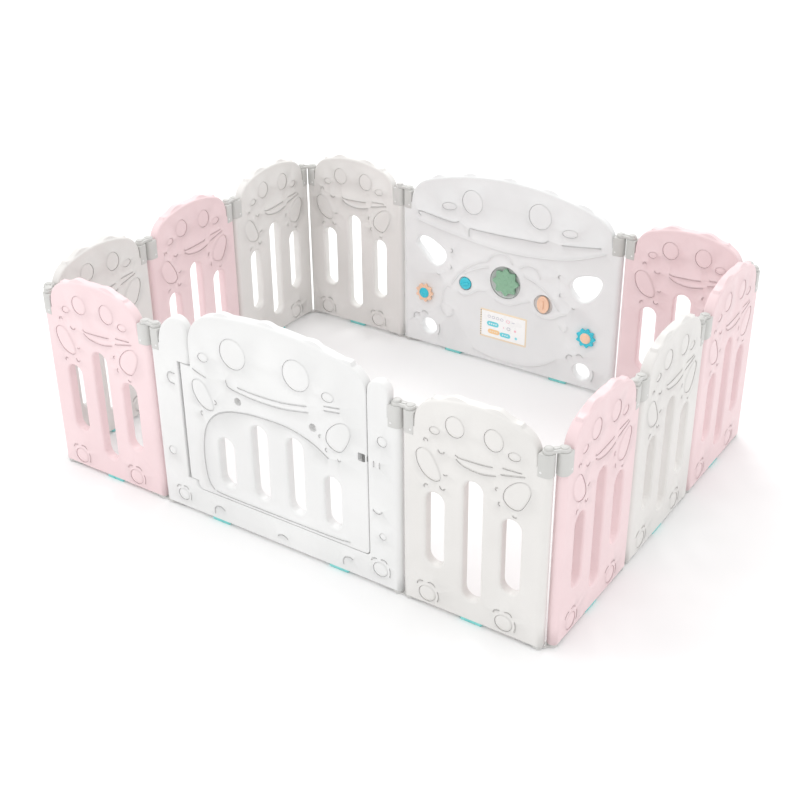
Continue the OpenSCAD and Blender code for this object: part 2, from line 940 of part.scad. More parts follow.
for (entry = NARROW) {
    pink = len([for (name = PINK) if (name == entry[0]) name]) > 0;
    place(entry)
            narrow_panel(pink ? colour_pink : colour_white);
    place(entry)
            brackets(narrow_span);
    place(entry)
            pads([0]);
}
for (entry = WIDE) {
    place(entry)
            brackets(wide_span);
    place(entry)
            pads([-panel_pitch / 2, panel_pitch / 2]);
}
for (entry = LINKS)
    place(entry)
            link(entry[4]);
place(WIDE[0]) gate_frame();
place(WIDE[0]) gate_door();
place(WIDE[0]) door_pins();
place(WIDE[0]) door_latch();
place(WIDE[1]) activity_board();
green_gear();
round_knob();
oval_knob();
flower_gear(flower_left_at, colour_peach);  // flower_gear_left
flower_cap(flower_left_at, colour_cyan);  // flower_cap_left
flower_gear(flower_right_at, colour_cyan);  // flower_gear_right
flower_cap(flower_right_at, colour_peach);  // flower_cap_right
picture_card();
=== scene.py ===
import math
from collections import namedtuple

import bmesh
import bpy
from mathutils import Matrix, Vector


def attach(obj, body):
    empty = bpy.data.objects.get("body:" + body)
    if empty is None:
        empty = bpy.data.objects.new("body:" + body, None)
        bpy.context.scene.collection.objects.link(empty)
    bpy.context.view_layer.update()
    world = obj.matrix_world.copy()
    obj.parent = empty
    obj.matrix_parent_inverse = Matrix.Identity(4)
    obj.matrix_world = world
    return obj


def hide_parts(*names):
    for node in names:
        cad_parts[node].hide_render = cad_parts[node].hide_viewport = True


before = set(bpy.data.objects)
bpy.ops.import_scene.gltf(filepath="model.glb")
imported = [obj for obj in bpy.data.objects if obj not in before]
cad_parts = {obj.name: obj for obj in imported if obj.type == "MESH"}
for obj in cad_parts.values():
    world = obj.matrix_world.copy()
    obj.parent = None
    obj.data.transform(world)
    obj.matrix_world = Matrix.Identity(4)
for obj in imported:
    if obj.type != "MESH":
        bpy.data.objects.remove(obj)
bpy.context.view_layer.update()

# All sizes below are in millimetres; a finished piece is brought to metres as it is placed
MM = 0.001
PITCH = 390
LINK = 36
HALF_X = 787.456
HALF_Y = 592.456
NARROW_SPAN = PITCH - LINK
WIDE_SPAN = 2 * PITCH - LINK
NARROW_X = 585
HALF_DEPTH = 15
FLOOR_GAP = 10
SHOULDER = 500
BRACKET_REACH = 17
HINGE_TOP = 534
SLOT_HALF = 25

# name: middle x, middle y, turn in degrees
NARROW = {
    "front_left": (-NARROW_X, -HALF_Y, 0),
    "front_right": (NARROW_X, -HALF_Y, 0),
    "right_front": (HALF_X, -PITCH, 90),
    "right_middle": (HALF_X, 0, 90),
    "right_back": (HALF_X, PITCH, 90),
    "back_right": (NARROW_X, HALF_Y, 180),
    "back_left": (-NARROW_X, HALF_Y, 180),
    "left_back": (-HALF_X, PITCH, 270),
    "left_middle": (-HALF_X, 0, 270),
    "left_front": (-HALF_X, -PITCH, 270),
}
GATE = (0, -HALF_Y, 0)
BOARD = (0, HALF_Y, 180)
PLAY_SIDE = (0, HALF_Y, 0)
PINK = ("front_left", "right_front", "right_back", "back_right", "left_middle")
JOINT_X = (WIDE_SPAN + LINK) / 2
CORNER_X = HALF_X - LINK / math.sqrt(8)
CORNER_Y = HALF_Y - LINK / math.sqrt(8)
# name: middle x, middle y, turn, has a pin at its far end
LINKS = {
    "gate_left": (-JOINT_X, -HALF_Y, 180, True),
    "front_left_corner": (-CORNER_X, -CORNER_Y, 135, True),
    "left_front": (-HALF_X, -PITCH / 2, 90, True),
    "left_back": (-HALF_X, PITCH / 2, 90, True),
    "back_left_corner": (-CORNER_X, CORNER_Y, 45, True),
    "board_left": (-JOINT_X, HALF_Y, 0, False),
    "gate_right": (JOINT_X, -HALF_Y, 0, True),
    "front_right_corner": (CORNER_X, -CORNER_Y, 45, True),
    "right_front": (HALF_X, -PITCH / 2, 90, True),
    "right_back": (HALF_X, PITCH / 2, 90, True),
    "back_right_corner": (CORNER_X, CORNER_Y, 135, True),
    "board_right": (JOINT_X, HALF_Y, 180, True),
}


# ---------------------------------------------------------------- finishes

def nodes_of(name):
    """A new material with its shader, node tree and a socket that gives the place on the piece"""
    mat = bpy.data.materials.new(name)
    mat.use_nodes = True
    tree = mat.node_tree
    shader = tree.nodes["Principled BSDF"]
    place = tree.nodes.new("ShaderNodeTexCoord").outputs["Object"]
    return mat, tree, shader, place


def noise(tree, place, scale, detail=3.0, rough=0.5):
    node = tree.nodes.new("ShaderNodeTexNoise")
    node.inputs["Scale"].default_value = scale
    node.inputs["Detail"].default_value = detail
    node.inputs["Roughness"].default_value = rough
    tree.links.new(place, node.inputs["Vector"])
    return node.outputs["Fac"]


def ramp(tree, value, low, high, start=0.35, end=0.65):
    """Maps a value to colours, or to greys when low and high are numbers"""
    node = tree.nodes.new("ShaderNodeValToRGB")
    tree.links.new(value, node.inputs["Fac"])
    stops = node.color_ramp.elements
    for stop, place, shade in ((stops[0], start, low), (stops[1], end, high)):
        stop.position = place
        stop.color = (*shade, 1) if isinstance(shade, tuple) else (shade, shade, shade, 1)
    return node.outputs["Color"]


def bump(tree, shader, layers):
    """Chains (height, strength, distance in mm) into the shader's normal"""
    last = None
    for height, strength, distance in layers:
        node = tree.nodes.new("ShaderNodeBump")
        node.inputs["Strength"].default_value = strength
        node.inputs["Distance"].default_value = distance * MM
        tree.links.new(height, node.inputs["Height"])
        if last:
            tree.links.new(last, node.inputs["Normal"])
        last = node.outputs["Normal"]
    tree.links.new(last, shader.inputs["Normal"])


# How strongly raised edges are lightened by a painted highlight, and how sharp an edge has to be
# for it to start and to be full
EDGE_HIGHLIGHT = 0.5
HIGHLIGHT_FROM, HIGHLIGHT_TO = 0.565, 0.66


def paint_edge_highlight(tree, colour, highlight_colour):
    """Lightens a colour along raised edges: a painted highlight"""
    geometry = tree.nodes.new("ShaderNodeNewGeometry")
    # Pointiness picks out the raised edges that get the painted highlight
    edge = ramp(tree, geometry.outputs["Pointiness"], 0.0, EDGE_HIGHLIGHT, HIGHLIGHT_FROM, HIGHLIGHT_TO)
    mix = tree.nodes.new("ShaderNodeMixRGB")
    tree.links.new(edge, mix.inputs["Fac"])
    tree.links.new(colour, mix.inputs["Color1"])
    mix.inputs["Color2"].default_value = (*highlight_colour, 1)
    return mix.outputs["Color"]


def moulded(name, low, high, highlight_colour, roughness=(0.36, 0.48), grain=0.12):
    """Blow-moulded polyethylene: faint clouding, orange-peel skin and a painted highlight along its
    raised edges
    """
    mat, tree, shader, place = nodes_of(name)
    cloud = noise(tree, place, 3.2, 4.0, 0.55)
    # The cloudy colour, with a painted highlight along raised edges
    colour = paint_edge_highlight(tree, ramp(tree, cloud, low, high), highlight_colour)
    tree.links.new(colour, shader.inputs["Base Color"])
    patches = noise(tree, place, 21.0, 5.0, 0.6)
    tree.links.new(ramp(tree, patches, *roughness), shader.inputs["Roughness"])
    peel = noise(tree, place, 420.0, 2.0, 0.5)
    wave = noise(tree, place, 9.0, 2.0, 0.4)
    bump(tree, shader, [(wave, 0.25, 1.0), (peel, grain, 0.25)])
    shader.inputs["IOR"].default_value = 1.5
    return mat


def rubber(name, low, high):
    mat, tree, shader, place = nodes_of(name)
    tree.links.new(ramp(tree, noise(tree, place, 40.0), low, high), shader.inputs["Base Color"])
    tree.links.new(ramp(tree, noise(tree, place, 120.0), 0.6, 0.8), shader.inputs["Roughness"])
    bump(tree, shader, [(noise(tree, place, 900.0, 2.0), 0.3, 0.2)])
    return mat


def steel(name):
    mat, tree, shader, place = nodes_of(name)
    shader.inputs["Metallic"].default_value = 1.0
    stretch = tree.nodes.new("ShaderNodeMapping")
    stretch.inputs["Scale"].default_value = (1, 1, 0.05)
    tree.links.new(place, stretch.inputs["Vector"])
    lines = noise(tree, stretch.outputs["Vector"], 1500.0, 2.0)
    metal = ramp(tree, lines, (0.55, 0.55, 0.56), (0.72, 0.72, 0.72))
    tree.links.new(metal, shader.inputs["Base Color"])
    tree.links.new(ramp(tree, lines, 0.22, 0.4), shader.inputs["Roughness"])
    bump(tree, shader, [(lines, 0.1, 0.05)])
    return mat


# Each moulding's third colour is its painted highlight along raised edges
WHITE = moulded("gate_white_moulding",
                (0.74, 0.74, 0.735), (0.79, 0.79, 0.785), (0.86, 0.86, 0.855))
WARM = moulded("warm_white_moulding",
               (0.70, 0.685, 0.665), (0.75, 0.735, 0.715), (0.82, 0.81, 0.79))
PINK_SKIN = moulded("pink_moulding",
                    (0.78, 0.605, 0.62), (0.83, 0.655, 0.67), (0.89, 0.735, 0.745))
BOARD_SKIN = moulded("board_moulding",
                     (0.74, 0.745, 0.745), (0.80, 0.805, 0.805), (0.87, 0.87, 0.87))
GREY = moulded("grey_hinge_plastic",
               (0.54, 0.54, 0.52), (0.62, 0.615, 0.60), (0.72, 0.72, 0.71), (0.34, 0.5), 0.25)
LATCH_GREY = moulded("latch_grey_plastic",
                     (0.17, 0.17, 0.165), (0.22, 0.22, 0.215), (0.34, 0.34, 0.33), (0.34, 0.5), 0.2)
CYAN = moulded("cyan_toy_plastic",
               (0.02, 0.46, 0.60), (0.05, 0.58, 0.70), (0.35, 0.78, 0.84), (0.2, 0.32), 0.05)
PEACH = moulded("peach_toy_plastic",
                (0.84, 0.52, 0.36), (0.90, 0.62, 0.45), (0.95, 0.78, 0.66), (0.22, 0.35), 0.05)
GREEN = moulded("green_toy_plastic",
                (0.21, 0.40, 0.27), (0.29, 0.50, 0.34), (0.45, 0.66, 0.50), (0.35, 0.5), 0.1)
CARD = moulded("card_sheet",
               (0.86, 0.86, 0.84), (0.92, 0.92, 0.91), (0.95, 0.95, 0.95), (0.25, 0.35), 0.03)
CREAM = moulded("card_border",
                (0.80, 0.66, 0.48), (0.87, 0.74, 0.56), (0.92, 0.84, 0.70), (0.3, 0.4), 0.03)
INK_GREY = moulded("card_ink_grey",
                   (0.42, 0.42, 0.50), (0.52, 0.52, 0.58), (0.6, 0.6, 0.65), (0.3, 0.4), 0.02)
INK_PINK = moulded("card_ink_pink",
                   (0.80, 0.32, 0.42), (0.86, 0.42, 0.50), (0.9, 0.6, 0.65), (0.3, 0.4), 0.02)
INK_CYAN = moulded("card_ink_cyan",
                   (0.05, 0.55, 0.66), (0.10, 0.65, 0.74), (0.4, 0.8, 0.85), (0.3, 0.4), 0.02)
INK_ORANGE = moulded("card_ink_orange",
                     (0.85, 0.50, 0.20), (0.90, 0.58, 0.28), (0.95, 0.75, 0.5), (0.3, 0.4), 0.02)
DARK = moulded("dark_seam",
               (0.05, 0.05, 0.055), (0.08, 0.08, 0.085), (0.12, 0.12, 0.12), (0.5, 0.7), 0.1)
TEAL = rubber("teal_pad_rubber", (0.18, 0.60, 0.58), (0.26, 0.70, 0.67))
STEEL = steel("pin_steel_brushed")


# ---------------------------------------------------------------- outlines

# A point of a moulding's outline: its place, the way out of the plastic, the edge's radius that way
# across and up, and how far a lobe lifts it at mid-thickness
Rim = namedtuple("Rim", "x z out_x out_z round_x round_z lift")
EDGE = 3.0
HEAD_EDGE = 6.0
SLOT_EDGE = 7.0
LOBE_REACH = 40.0
LOBE_RISE = 7.7


def corner(x, z, out_x, out_z, round_x=EDGE, round_z=EDGE):
    return [Rim(x, z, out_x, out_z, round_x, round_z, 0.0)]


def lobe_lift(x, lobes):
    """Height of the scalloped crest over the crown at x"""
    near = [x - at for at in lobes if abs(x - at) < LOBE_REACH]
    return sum(LOBE_RISE * math.cos(math.pi * away / (2 * LOBE_REACH)) ** 2 for away in near)


def arc(x, z, radius, start, end, step=4.0, edge=HEAD_EDGE, last_edge=None, lobes=(), out=1):
    """Rim points along an arc, about a step apart, turning from start to end in degrees"""
    last_edge = edge if last_edge is None else last_edge
    count = max(3, round(abs(math.radians(end - start)) * radius / step))
    points = []
    for i in range(count + 1):
        share = i / count
        turn = math.radians(start + (end - start) * share)
        across, up = math.cos(turn), math.sin(turn)
        size = edge + (last_edge - edge) * share
        px = x + radius * across
        lift = lobe_lift(px, lobes)
        points.append(Rim(px, z + radius * up, out * across, out * up, size, size, lift))
    return points


def side(x, low, high, out_x, edge, steps=8):
    """Rim points strictly between two ends of an upright edge, upwards or downwards"""
    heights = [low + (high - low) * i / steps for i in range(1, steps)]
    return [Rim(x, z, out_x, 0.0, edge, edge, 0.0) for z in heights]


def level(z, start, end, out_z, edge=EDGE, step=20.0):
    """Rim points strictly between two ends of a level edge"""
    steps = max(1, round(abs(end - start) / step))
    places = [start + (end - start) * i / steps for i in range(1, steps)]
    return [Rim(x, z, 0.0, out_z, edge, edge, 0.0) for x in places]


def crown_angles(crown, big, x, small):
    """Height of a corner circle tangent to the crown's arc, and the angle where they meet"""
    centre = crown - big
    rise = math.sqrt((big - small) ** 2 - x * x)
    return centre + rise, math.degrees(math.atan2(rise, x))


def full_panel(span, half, crown, big, small, lobes):
    """Outline of a whole panel: half-round sides, a step for the brackets, and the arched head"""
    top_z, meet = crown_angles(crown, big, half - small, small)
    right = span / 2 + HALF_DEPTH
    head = [
        *corner(half, SHOULDER, 1, 1, HEAD_EDGE, EDGE),
        *arc(half - small, top_z, small, 0, meet)[:-1],
        *arc(0, crown - big, big, meet, 180 - meet, lobes=lobes),
        *arc(small - half, top_z, small, 180 - meet, 180)[1:],
        *corner(-half, SHOULDER, -1, 1, HEAD_EDGE, EDGE),
    ]
    return [
        *corner(right, FLOOR_GAP, 1, -1, HALF_DEPTH, EDGE),
        *side(right, FLOOR_GAP, SHOULDER, 1, HALF_DEPTH),
        *corner(right, SHOULDER, 1, 1, HALF_DEPTH, EDGE),
        *head,
        *corner(-right, SHOULDER, -1, 1, HALF_DEPTH, EDGE),
        *side(-right, SHOULDER, FLOOR_GAP, -1, HALF_DEPTH),
        *corner(-right, FLOOR_GAP, -1, -1, HALF_DEPTH, EDGE),
        *level(FLOOR_GAP, -right + HALF_DEPTH, right - HALF_DEPTH, -1),
    ]


def slot_rim(x, low, high):
    """Outline of an upright slot with round ends; its edge flares towards both faces"""
    top, bottom = high - SLOT_HALF, low + SLOT_HALF
    return [
        *arc(x, top, SLOT_HALF, 0, 180, 5, SLOT_EDGE, out=-1),
        *side(x - SLOT_HALF, top, bottom, 1, SLOT_EDGE, 6),
        *arc(x, bottom, SLOT_HALF, 180, 360, 5, SLOT_EDGE, out=-1),
        *side(x + SLOT_HALF, bottom, top, -1, SLOT_EDGE, 6),
    ]


def free_rim(points, edge):
    """Outline of a free-formed hole, with its directions taken from its neighbours"""
    rims = []
    for i, (x, z) in enumerate(points):
        before, after = points[i - 1], points[(i + 1) % len(points)]
        along = Vector((after[0] - before[0], after[1] - before[1])).normalized()
        rims.append(Rim(x, z, -along.y, along.x, edge, edge, 0.0))
    return rims


def smooth(points, closed=True, steps=5):
    """A soft curve through points"""
    count = len(points)
    spans = count if closed else count - 1
    made = []
    for i in range(spans):
        if closed:
            a, b, c, d = (points[(i + k) % count] for k in (-1, 0, 1, 2))
        else:
            a, b, c, d = (points[min(max(i + k, 0), count - 1)] for k in (-1, 0, 1, 2))
        for s in range(steps):
            t = s / steps
            made.append(tuple(
                0.5 * (2 * q + (r - p) * t + (2 * p - 5 * q + 4 * r - w) * t ** 2
                       + (3 * q - p - 3 * r + w) * t ** 3)
                for p, q, r, w in zip(a, b, c, d)))
    if not closed:
        made.append(tuple(points[-1]))
    return made


def oval(x, z, half_x, half_z, turn=0, count=28):
    """An oval, turned by some degrees"""
    cos, sin = math.cos(math.radians(turn)), math.sin(math.radians(turn))
    points = []
    for i in range(count):
        a = 2 * math.pi * i / count
        px = half_x * math.cos(a)
        pz = half_z * math.sin(a)
        points.append((x + px * cos - pz * sin, z + px * sin + pz * cos))
    return points


BOW_WIDTH = 3.2


def stroke(points, width, steps=5):
    """Outline of a soft line of a given width with round ends, from points it runs through"""
    line = smooth(points, closed=False, steps=steps)
    half = width / 2
    left, right = [], []
    for i, (x, z) in enumerate(line):
        before, after = line[max(i - 1, 0)], line[min(i + 1, len(line) - 1)]
        along = Vector((after[0] - before[0], after[1] - before[1])).normalized()
        left.append((x - along.y * half, z + along.x * half))
        right.append((x + along.y * half, z - along.x * half))
    (x0, z0), (x1, z1) = line[0], line[-1]
    start = math.atan2(left[0][1] - z0, left[0][0] - x0)
    end = math.atan2(right[-1][1] - z1, right[-1][0] - x1)
    steps_round = [math.pi * k / 4 for k in (1, 2, 3)]
    head = [(x0 + half * math.cos(start + t), z0 + half * math.sin(start + t)) for t in steps_round]
    tail = [(x1 + half * math.cos(end + t), z1 + half * math.sin(end + t)) for t in steps_round]
    return left[::-1] + head + right + tail


def bow(x, z, radius, start, end):
    """A curved dash: part of a ring"""
    turns = [math.radians(start + (end - start) * i / 4) for i in range(5)]
    ring = [(x + radius * math.cos(t), z + radius * math.sin(t)) for t in turns]
    return stroke(ring, BOW_WIDTH, 3)


# ---------------------------------------------------------------- mouldings

# Inset steps from a mark's outline inwards: (across the face, out of the face)
GROOVE = ((0.4, 0.0), (0.8, -1.0))
DISH = ((0.4, 0.0), (1.1, -1.4), (0.7, 0.0), (1.8, 0.8), (3.0, 0.3))
PILLOW = ((0.4, 0.0), (1.1, -1.5), (0.6, 0.0), (1.5, 1.2), (3.0, 0.5), (5.0, 0.3))
RAISED = ((0.4, 0.0), (1.3, 1.3), (1.0, 0.4))
WINDOW = ((0.5, 0.0), (0.6, -0.6), (0.2, -11.0))
DEPTHS = (0.0, 0.25, 0.9, 1.9, 3.2, 4.8, 6.0, 7.0, 8.2, 9.6, 12.0, HALF_DEPTH)
MARGIN = 0.8
CREST_START = 4.0
CREST_OVER = 3.0


def rounding(radius, depth):
    """How far an edge of this radius lies inside the silhouette at a depth behind the face"""
    if depth >= radius:
        return 0.0
    return radius - math.sqrt(radius ** 2 - (radius - depth) ** 2)


def crest(depth):
    """Share of a lobe's lift at a depth behind the face: it rises only round mid-thickness"""
    t = min(max((depth - CREST_START) / CREST_OVER, 0.0), 1.0)
    return t * t * (3 - 2 * t)


def rim_wall(bm, rims, number):
    """Draws a rim's loop on the face and sweeps it over the edge's rounding to mid-thickness"""
    first = [bm.verts.new((0, 0, 0)) for _ in rims]
    for i, v in enumerate(first):
        v[number] = i
    edges = [bm.edges.new((first[i - 1], v)) for i, v in enumerate(first)]
    face_loop = list(edges)

    def settle(verts, depth, margin):
        for v in verts:
            r = rims[v[number]]
            lift = r.lift * crest(depth)
            v.co.x = r.x + r.out_x * (lift - rounding(r.round_x, depth) - margin)
            v.co.z = r.z + r.out_z * (lift - rounding(r.round_z, depth) - margin)
            v.co.y = depth - HALF_DEPTH

    settle(first, 0.0, MARGIN)
    for depth in DEPTHS:
        swept = bmesh.ops.extrude_edge_only(bm, edges=edges)["geom"]
        made = {g for g in swept if isinstance(g, bmesh.types.BMVert)}
        settle(made, depth, 0.0)
        edges = [g for g in swept
                 if isinstance(g, bmesh.types.BMEdge) and all(v in made for v in g.verts)]
    return face_loop


def emboss(bm, outline, steps, y):
    """Sinks or raises a mark in the face by inset steps, and gives its outer loop"""
    verts = [bm.verts.new((x, y, z)) for x, z in outline]
    face = bm.faces.new(verts)
    face.normal_update()
    if face.normal.y > 0:
        face.normal_flip()
    loop = list(face.edges)
    for across, out in steps:
        bmesh.ops.inset_individual(bm, faces=[face], thickness=across, depth=out,
                                   use_even_offset=True)
    return loop


def half_moulding(outer, holes, marks):
    """One side of a moulding: its rims and marks, and the flat face between them"""
    bm = bmesh.new()
    number = bm.verts.layers.int.new("number")
    loops = []
    for rims in [outer, *holes]:
        loops += rim_wall(bm, rims, number)
    for outline, steps in marks:
        loops += emboss(bm, outline, steps, -HALF_DEPTH)
    bmesh.ops.triangle_fill(bm, edges=loops, use_beauty=True, normal=(0, -1, 0))
    bmesh.ops.recalc_face_normals(bm, faces=bm.faces)
    return bm


def moulding(outer, holes, marks, back="mirror", front_marks=()):
    """A whole moulding: two sides joined at mid-thickness, the rear one turned round or mirrored"""
    bm = half_moulding(outer, holes, [*marks, *front_marks])
    rear = half_moulding(outer, holes, marks)
    if back == "turn":
        bmesh.ops.rotate(rear, verts=rear.verts, cent=(0, 0, 0),
                         matrix=Matrix.Rotation(math.pi, 3, "Z"))
    else:
        bmesh.ops.scale(rear, verts=rear.verts, vec=(1, -1, 1))
    mesh = bpy.data.meshes.new("rear")
    rear.to_mesh(mesh)
    bm.from_mesh(mesh)
    bpy.data.meshes.remove(mesh)
    rear.free()
    middle = [v for v in bm.verts if abs(v.co.y) < 0.01]
    bmesh.ops.remove_doubles(bm, verts=middle, dist=0.02)
    bmesh.ops.recalc_face_normals(bm, faces=bm.faces)
    return bm


def place(bm, name, body, mats, spot, nodes, slot):
    """Makes a finished piece of a bmesh: placed, in metres, on its body"""
    mesh = bpy.data.meshes.new(name)
    bm.to_mesh(mesh)
    for mat in mats:
        mesh.materials.append(mat)
    for face in mesh.polygons:
        face.use_smooth = True
    x, y, degrees = spot
    turn = Matrix.Rotation(math.radians(degrees), 4, "Z")
    mesh.transform(Matrix.Diagonal((MM, MM, MM, 1)) @ Matrix.Translation((x, y, 0)) @ turn)
    piece = bpy.data.objects.new(name, mesh)
    bpy.context.scene.collection.objects.link(piece)
    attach(piece, body)
    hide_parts(*nodes)


# ---------------------------------------------------------------- narrow panels

def paw(x, z, radius):
    """A paw print: a ring, two toes over it and a dash beside it"""
    return [
        (oval(x, z, radius, radius * 0.95), PILLOW),
        (bow(x - radius * 0.62, z + radius * 0.80, radius * 0.56, 80, 170), GROOVE),
        (bow(x + radius * 0.42, z + radius * 0.98, radius * 0.5, 20, 125), GROOVE),
        (bow(x, z, radius * 1.36, -25, 25), GROOVE),
    ]


LEAF = [(-35, 22), (-26, 38), (-10, 43), (8, 36), (24, 12), (36, -14), (38, -34), (26, -44),
        (6, -42), (-14, -30), (-30, -6)]
EGG = [(-38, -14), (-32, 8), (-12, 30), (10, 42), (30, 40), (38, 22), (33, -2), (16, -34),
       (0, -44), (-20, -40), (-34, -28)]


def spread(shape, x, z, scale):
    """A leaf's or an egg's outline, put in its place"""
    return smooth([(x + px * scale, z + pz * scale) for px, pz in shape], True, 3)


narrow_marks = [
    (oval(-50, 531, 25, 27, 8), DISH),
    (oval(50, 529, 25, 28, 8), DISH),
    (oval(-103, 506, 14, 10, 8), DISH),
    (oval(103, 505, 16, 11, 8), DISH),
    (stroke([(-46, 460), (-38, 456), (-6, 456), (31, 458), (48, 460)], 3.2), GROOVE),
    (stroke([(-44, 449), (-24, 438), (18, 433), (57, 440)], 3.5), GROOVE),
    (stroke([(76, 467), (98, 468), (122, 469)], 3.2), GROOVE),
    (stroke([(72, 449), (100, 455), (130, 462)], 3.5), GROOVE),
    (bow(-126, 474, 5, 0, 200), GROOVE),
    (bow(-84, 461, 9, 200, 330), GROOVE),
    (spread(LEAF, -121, 412, 0.92), PILLOW),
    (spread(EGG, 113, 408, 0.92), PILLOW),
    (bow(-74, 402, 6, 240, 330), GROOVE),
    (bow(-80, 362, 7, 180, 330), GROOVE),
    (bow(-124, 350, 6, 60, 200), GROOVE),
    (bow(64, 407, 5, 100, 220), GROOVE),
    (bow(72, 371, 5, 120, 250), GROOVE),
    (bow(110, 353, 5, 200, 320), GROOVE),
    *paw(-121, 41, 24),
    *paw(91, 42, 24),
]
narrow_outline = full_panel(NARROW_SPAN, 160, 599, 340, 70, (-130, -55, 55, 130))
narrow_slots = [slot_rim(0, 68, 402), slot_rim(-102, 130, 337), slot_rim(102, 130, 337)]
narrow = moulding(narrow_outline, narrow_slots, narrow_marks, "turn")
for key, spot in NARROW.items():
    skin, slot = (PINK_SKIN, "pink_plastic") if key in PINK else (WARM, "white_plastic")
    place(narrow, "moulded_" + key, key, [skin], spot, ["panel_" + key], slot)
narrow.free()


# ---------------------------------------------------------------- gate

CROWN, CROWN_R = 636, 900
WIDE_HALF, WIDE_R = 355, 90
POST_EDGE = -296
DOOR_LEFT, DOOR_STEP, DOOR_RIGHT = -253, -260, 294
DOOR_GAP = 2
SILL, DOOR_LOW = 86, 88
STEP_LOW, STEP_HIGH = 110, 460
POST_CORNER = 36
PIVOT_X = -279
DOOR_MIDDLE = 17

wide_z = crown_angles(CROWN, CROWN_R, WIDE_HALF - WIDE_R, WIDE_R)[0]
post_x = DOOR_LEFT - DOOR_GAP - POST_CORNER
post_arm = WIDE_R - POST_CORNER
post_z = wide_z + math.sqrt(post_arm ** 2 - (post_x + WIDE_HALF - WIDE_R) ** 2)
post_meet = math.degrees(math.atan2(post_z - wide_z, post_x + WIDE_HALF - WIDE_R))
right_r = (WIDE_HALF - DOOR_RIGHT - DOOR_GAP) / 2
right_z = post_z + POST_CORNER - right_r
GATE_END = WIDE_SPAN / 2 + HALF_DEPTH
INNER = DOOR_RIGHT + DOOR_GAP
SOFT = 12.0
# Roundness of the frame's edges that the door swings past
SWING_HIGH, SWING_LOW = 12.5, 14.9

frame_outline = [
    *corner(GATE_END, FLOOR_GAP, 1, -1, HALF_DEPTH, EDGE),
    *side(GATE_END, FLOOR_GAP, SHOULDER, 1, HALF_DEPTH),
    *corner(GATE_END, SHOULDER, 1, 1, HALF_DEPTH, EDGE),
    *corner(WIDE_HALF, SHOULDER, 1, 1, HEAD_EDGE, EDGE),
    *arc(INNER + right_r, right_z, right_r, 0, 180, 4, HEAD_EDGE),
    *side(INNER, right_z, SILL + SOFT, -1, EDGE, 24),
    *arc(INNER - SOFT, SILL + SOFT, SOFT, 0, -90, 4, EDGE, out=-1),
    *level(SILL, INNER - SOFT, DOOR_STEP - DOOR_GAP + SOFT, 1),
    *arc(DOOR_STEP - DOOR_GAP + SOFT, SILL + SOFT, SOFT, 270, 180, 4, EDGE, SWING_LOW, out=-1),
    *corner(DOOR_STEP - DOOR_GAP, STEP_LOW, 1, 1, SWING_LOW, EDGE),
    *corner(POST_EDGE, STEP_LOW, 1, 1),
    *side(POST_EDGE, STEP_LOW, STEP_HIGH, 1, EDGE, 16),
    *corner(POST_EDGE, STEP_HIGH, 1, -1),
    *corner(DOOR_LEFT - DOOR_GAP, STEP_HIGH, 1, -1, SWING_HIGH, EDGE),
    *side(DOOR_LEFT - DOOR_GAP, STEP_HIGH, post_z, 1, SWING_HIGH, 5),
    *arc(post_x, post_z, POST_CORNER, 0, post_meet, 4, SWING_HIGH, HEAD_EDGE),
    *arc(WIDE_R - WIDE_HALF, wide_z, WIDE_R, post_meet, 180, 4)[1:],
    *corner(-WIDE_HALF, SHOULDER, -1, 1, HEAD_EDGE, EDGE),
    *corner(-GATE_END, SHOULDER, -1, 1, HALF_DEPTH, EDGE),
    *side(-GATE_END, SHOULDER, FLOOR_GAP, -1, HALF_DEPTH),
    *corner(-GATE_END, FLOOR_GAP, -1, -1, HALF_DEPTH, EDGE),
    *level(FLOOR_GAP, HALF_DEPTH - GATE_END, GATE_END - HALF_DEPTH, -1),
]
frame_marks = [
    (bow(-318, 407, 17, 60, 290), GROOVE),
    (oval(-343, 180, 13, 13), DISH),
    *paw(-318, 48, 19),
    (bow(-190, 34, 20, 40, 200), GROOVE),
    (bow(20, 22, 20, 40, 140), GROOVE),
    (bow(233, 36, 20, 60, 200), GROOVE),
    *paw(327, 56, 22),
    (oval(338, 428, 14, 14), DISH),
    (bow(322, 236, 15, 215, 330), GROOVE),
    (oval(336, 158, 10, 10), DISH),
    (stroke([(313, 366), (313, 352)], 3.2), GROOVE),
    (stroke([(330, 366), (330, 352)], 3.2), GROOVE),
]
gate_frame = moulding(frame_outline, [], frame_marks)
place(gate_frame, "moulded_gate_frame", "gate", [WHITE], GATE, ["gate_frame"], "white_plastic")
gate_frame.free()

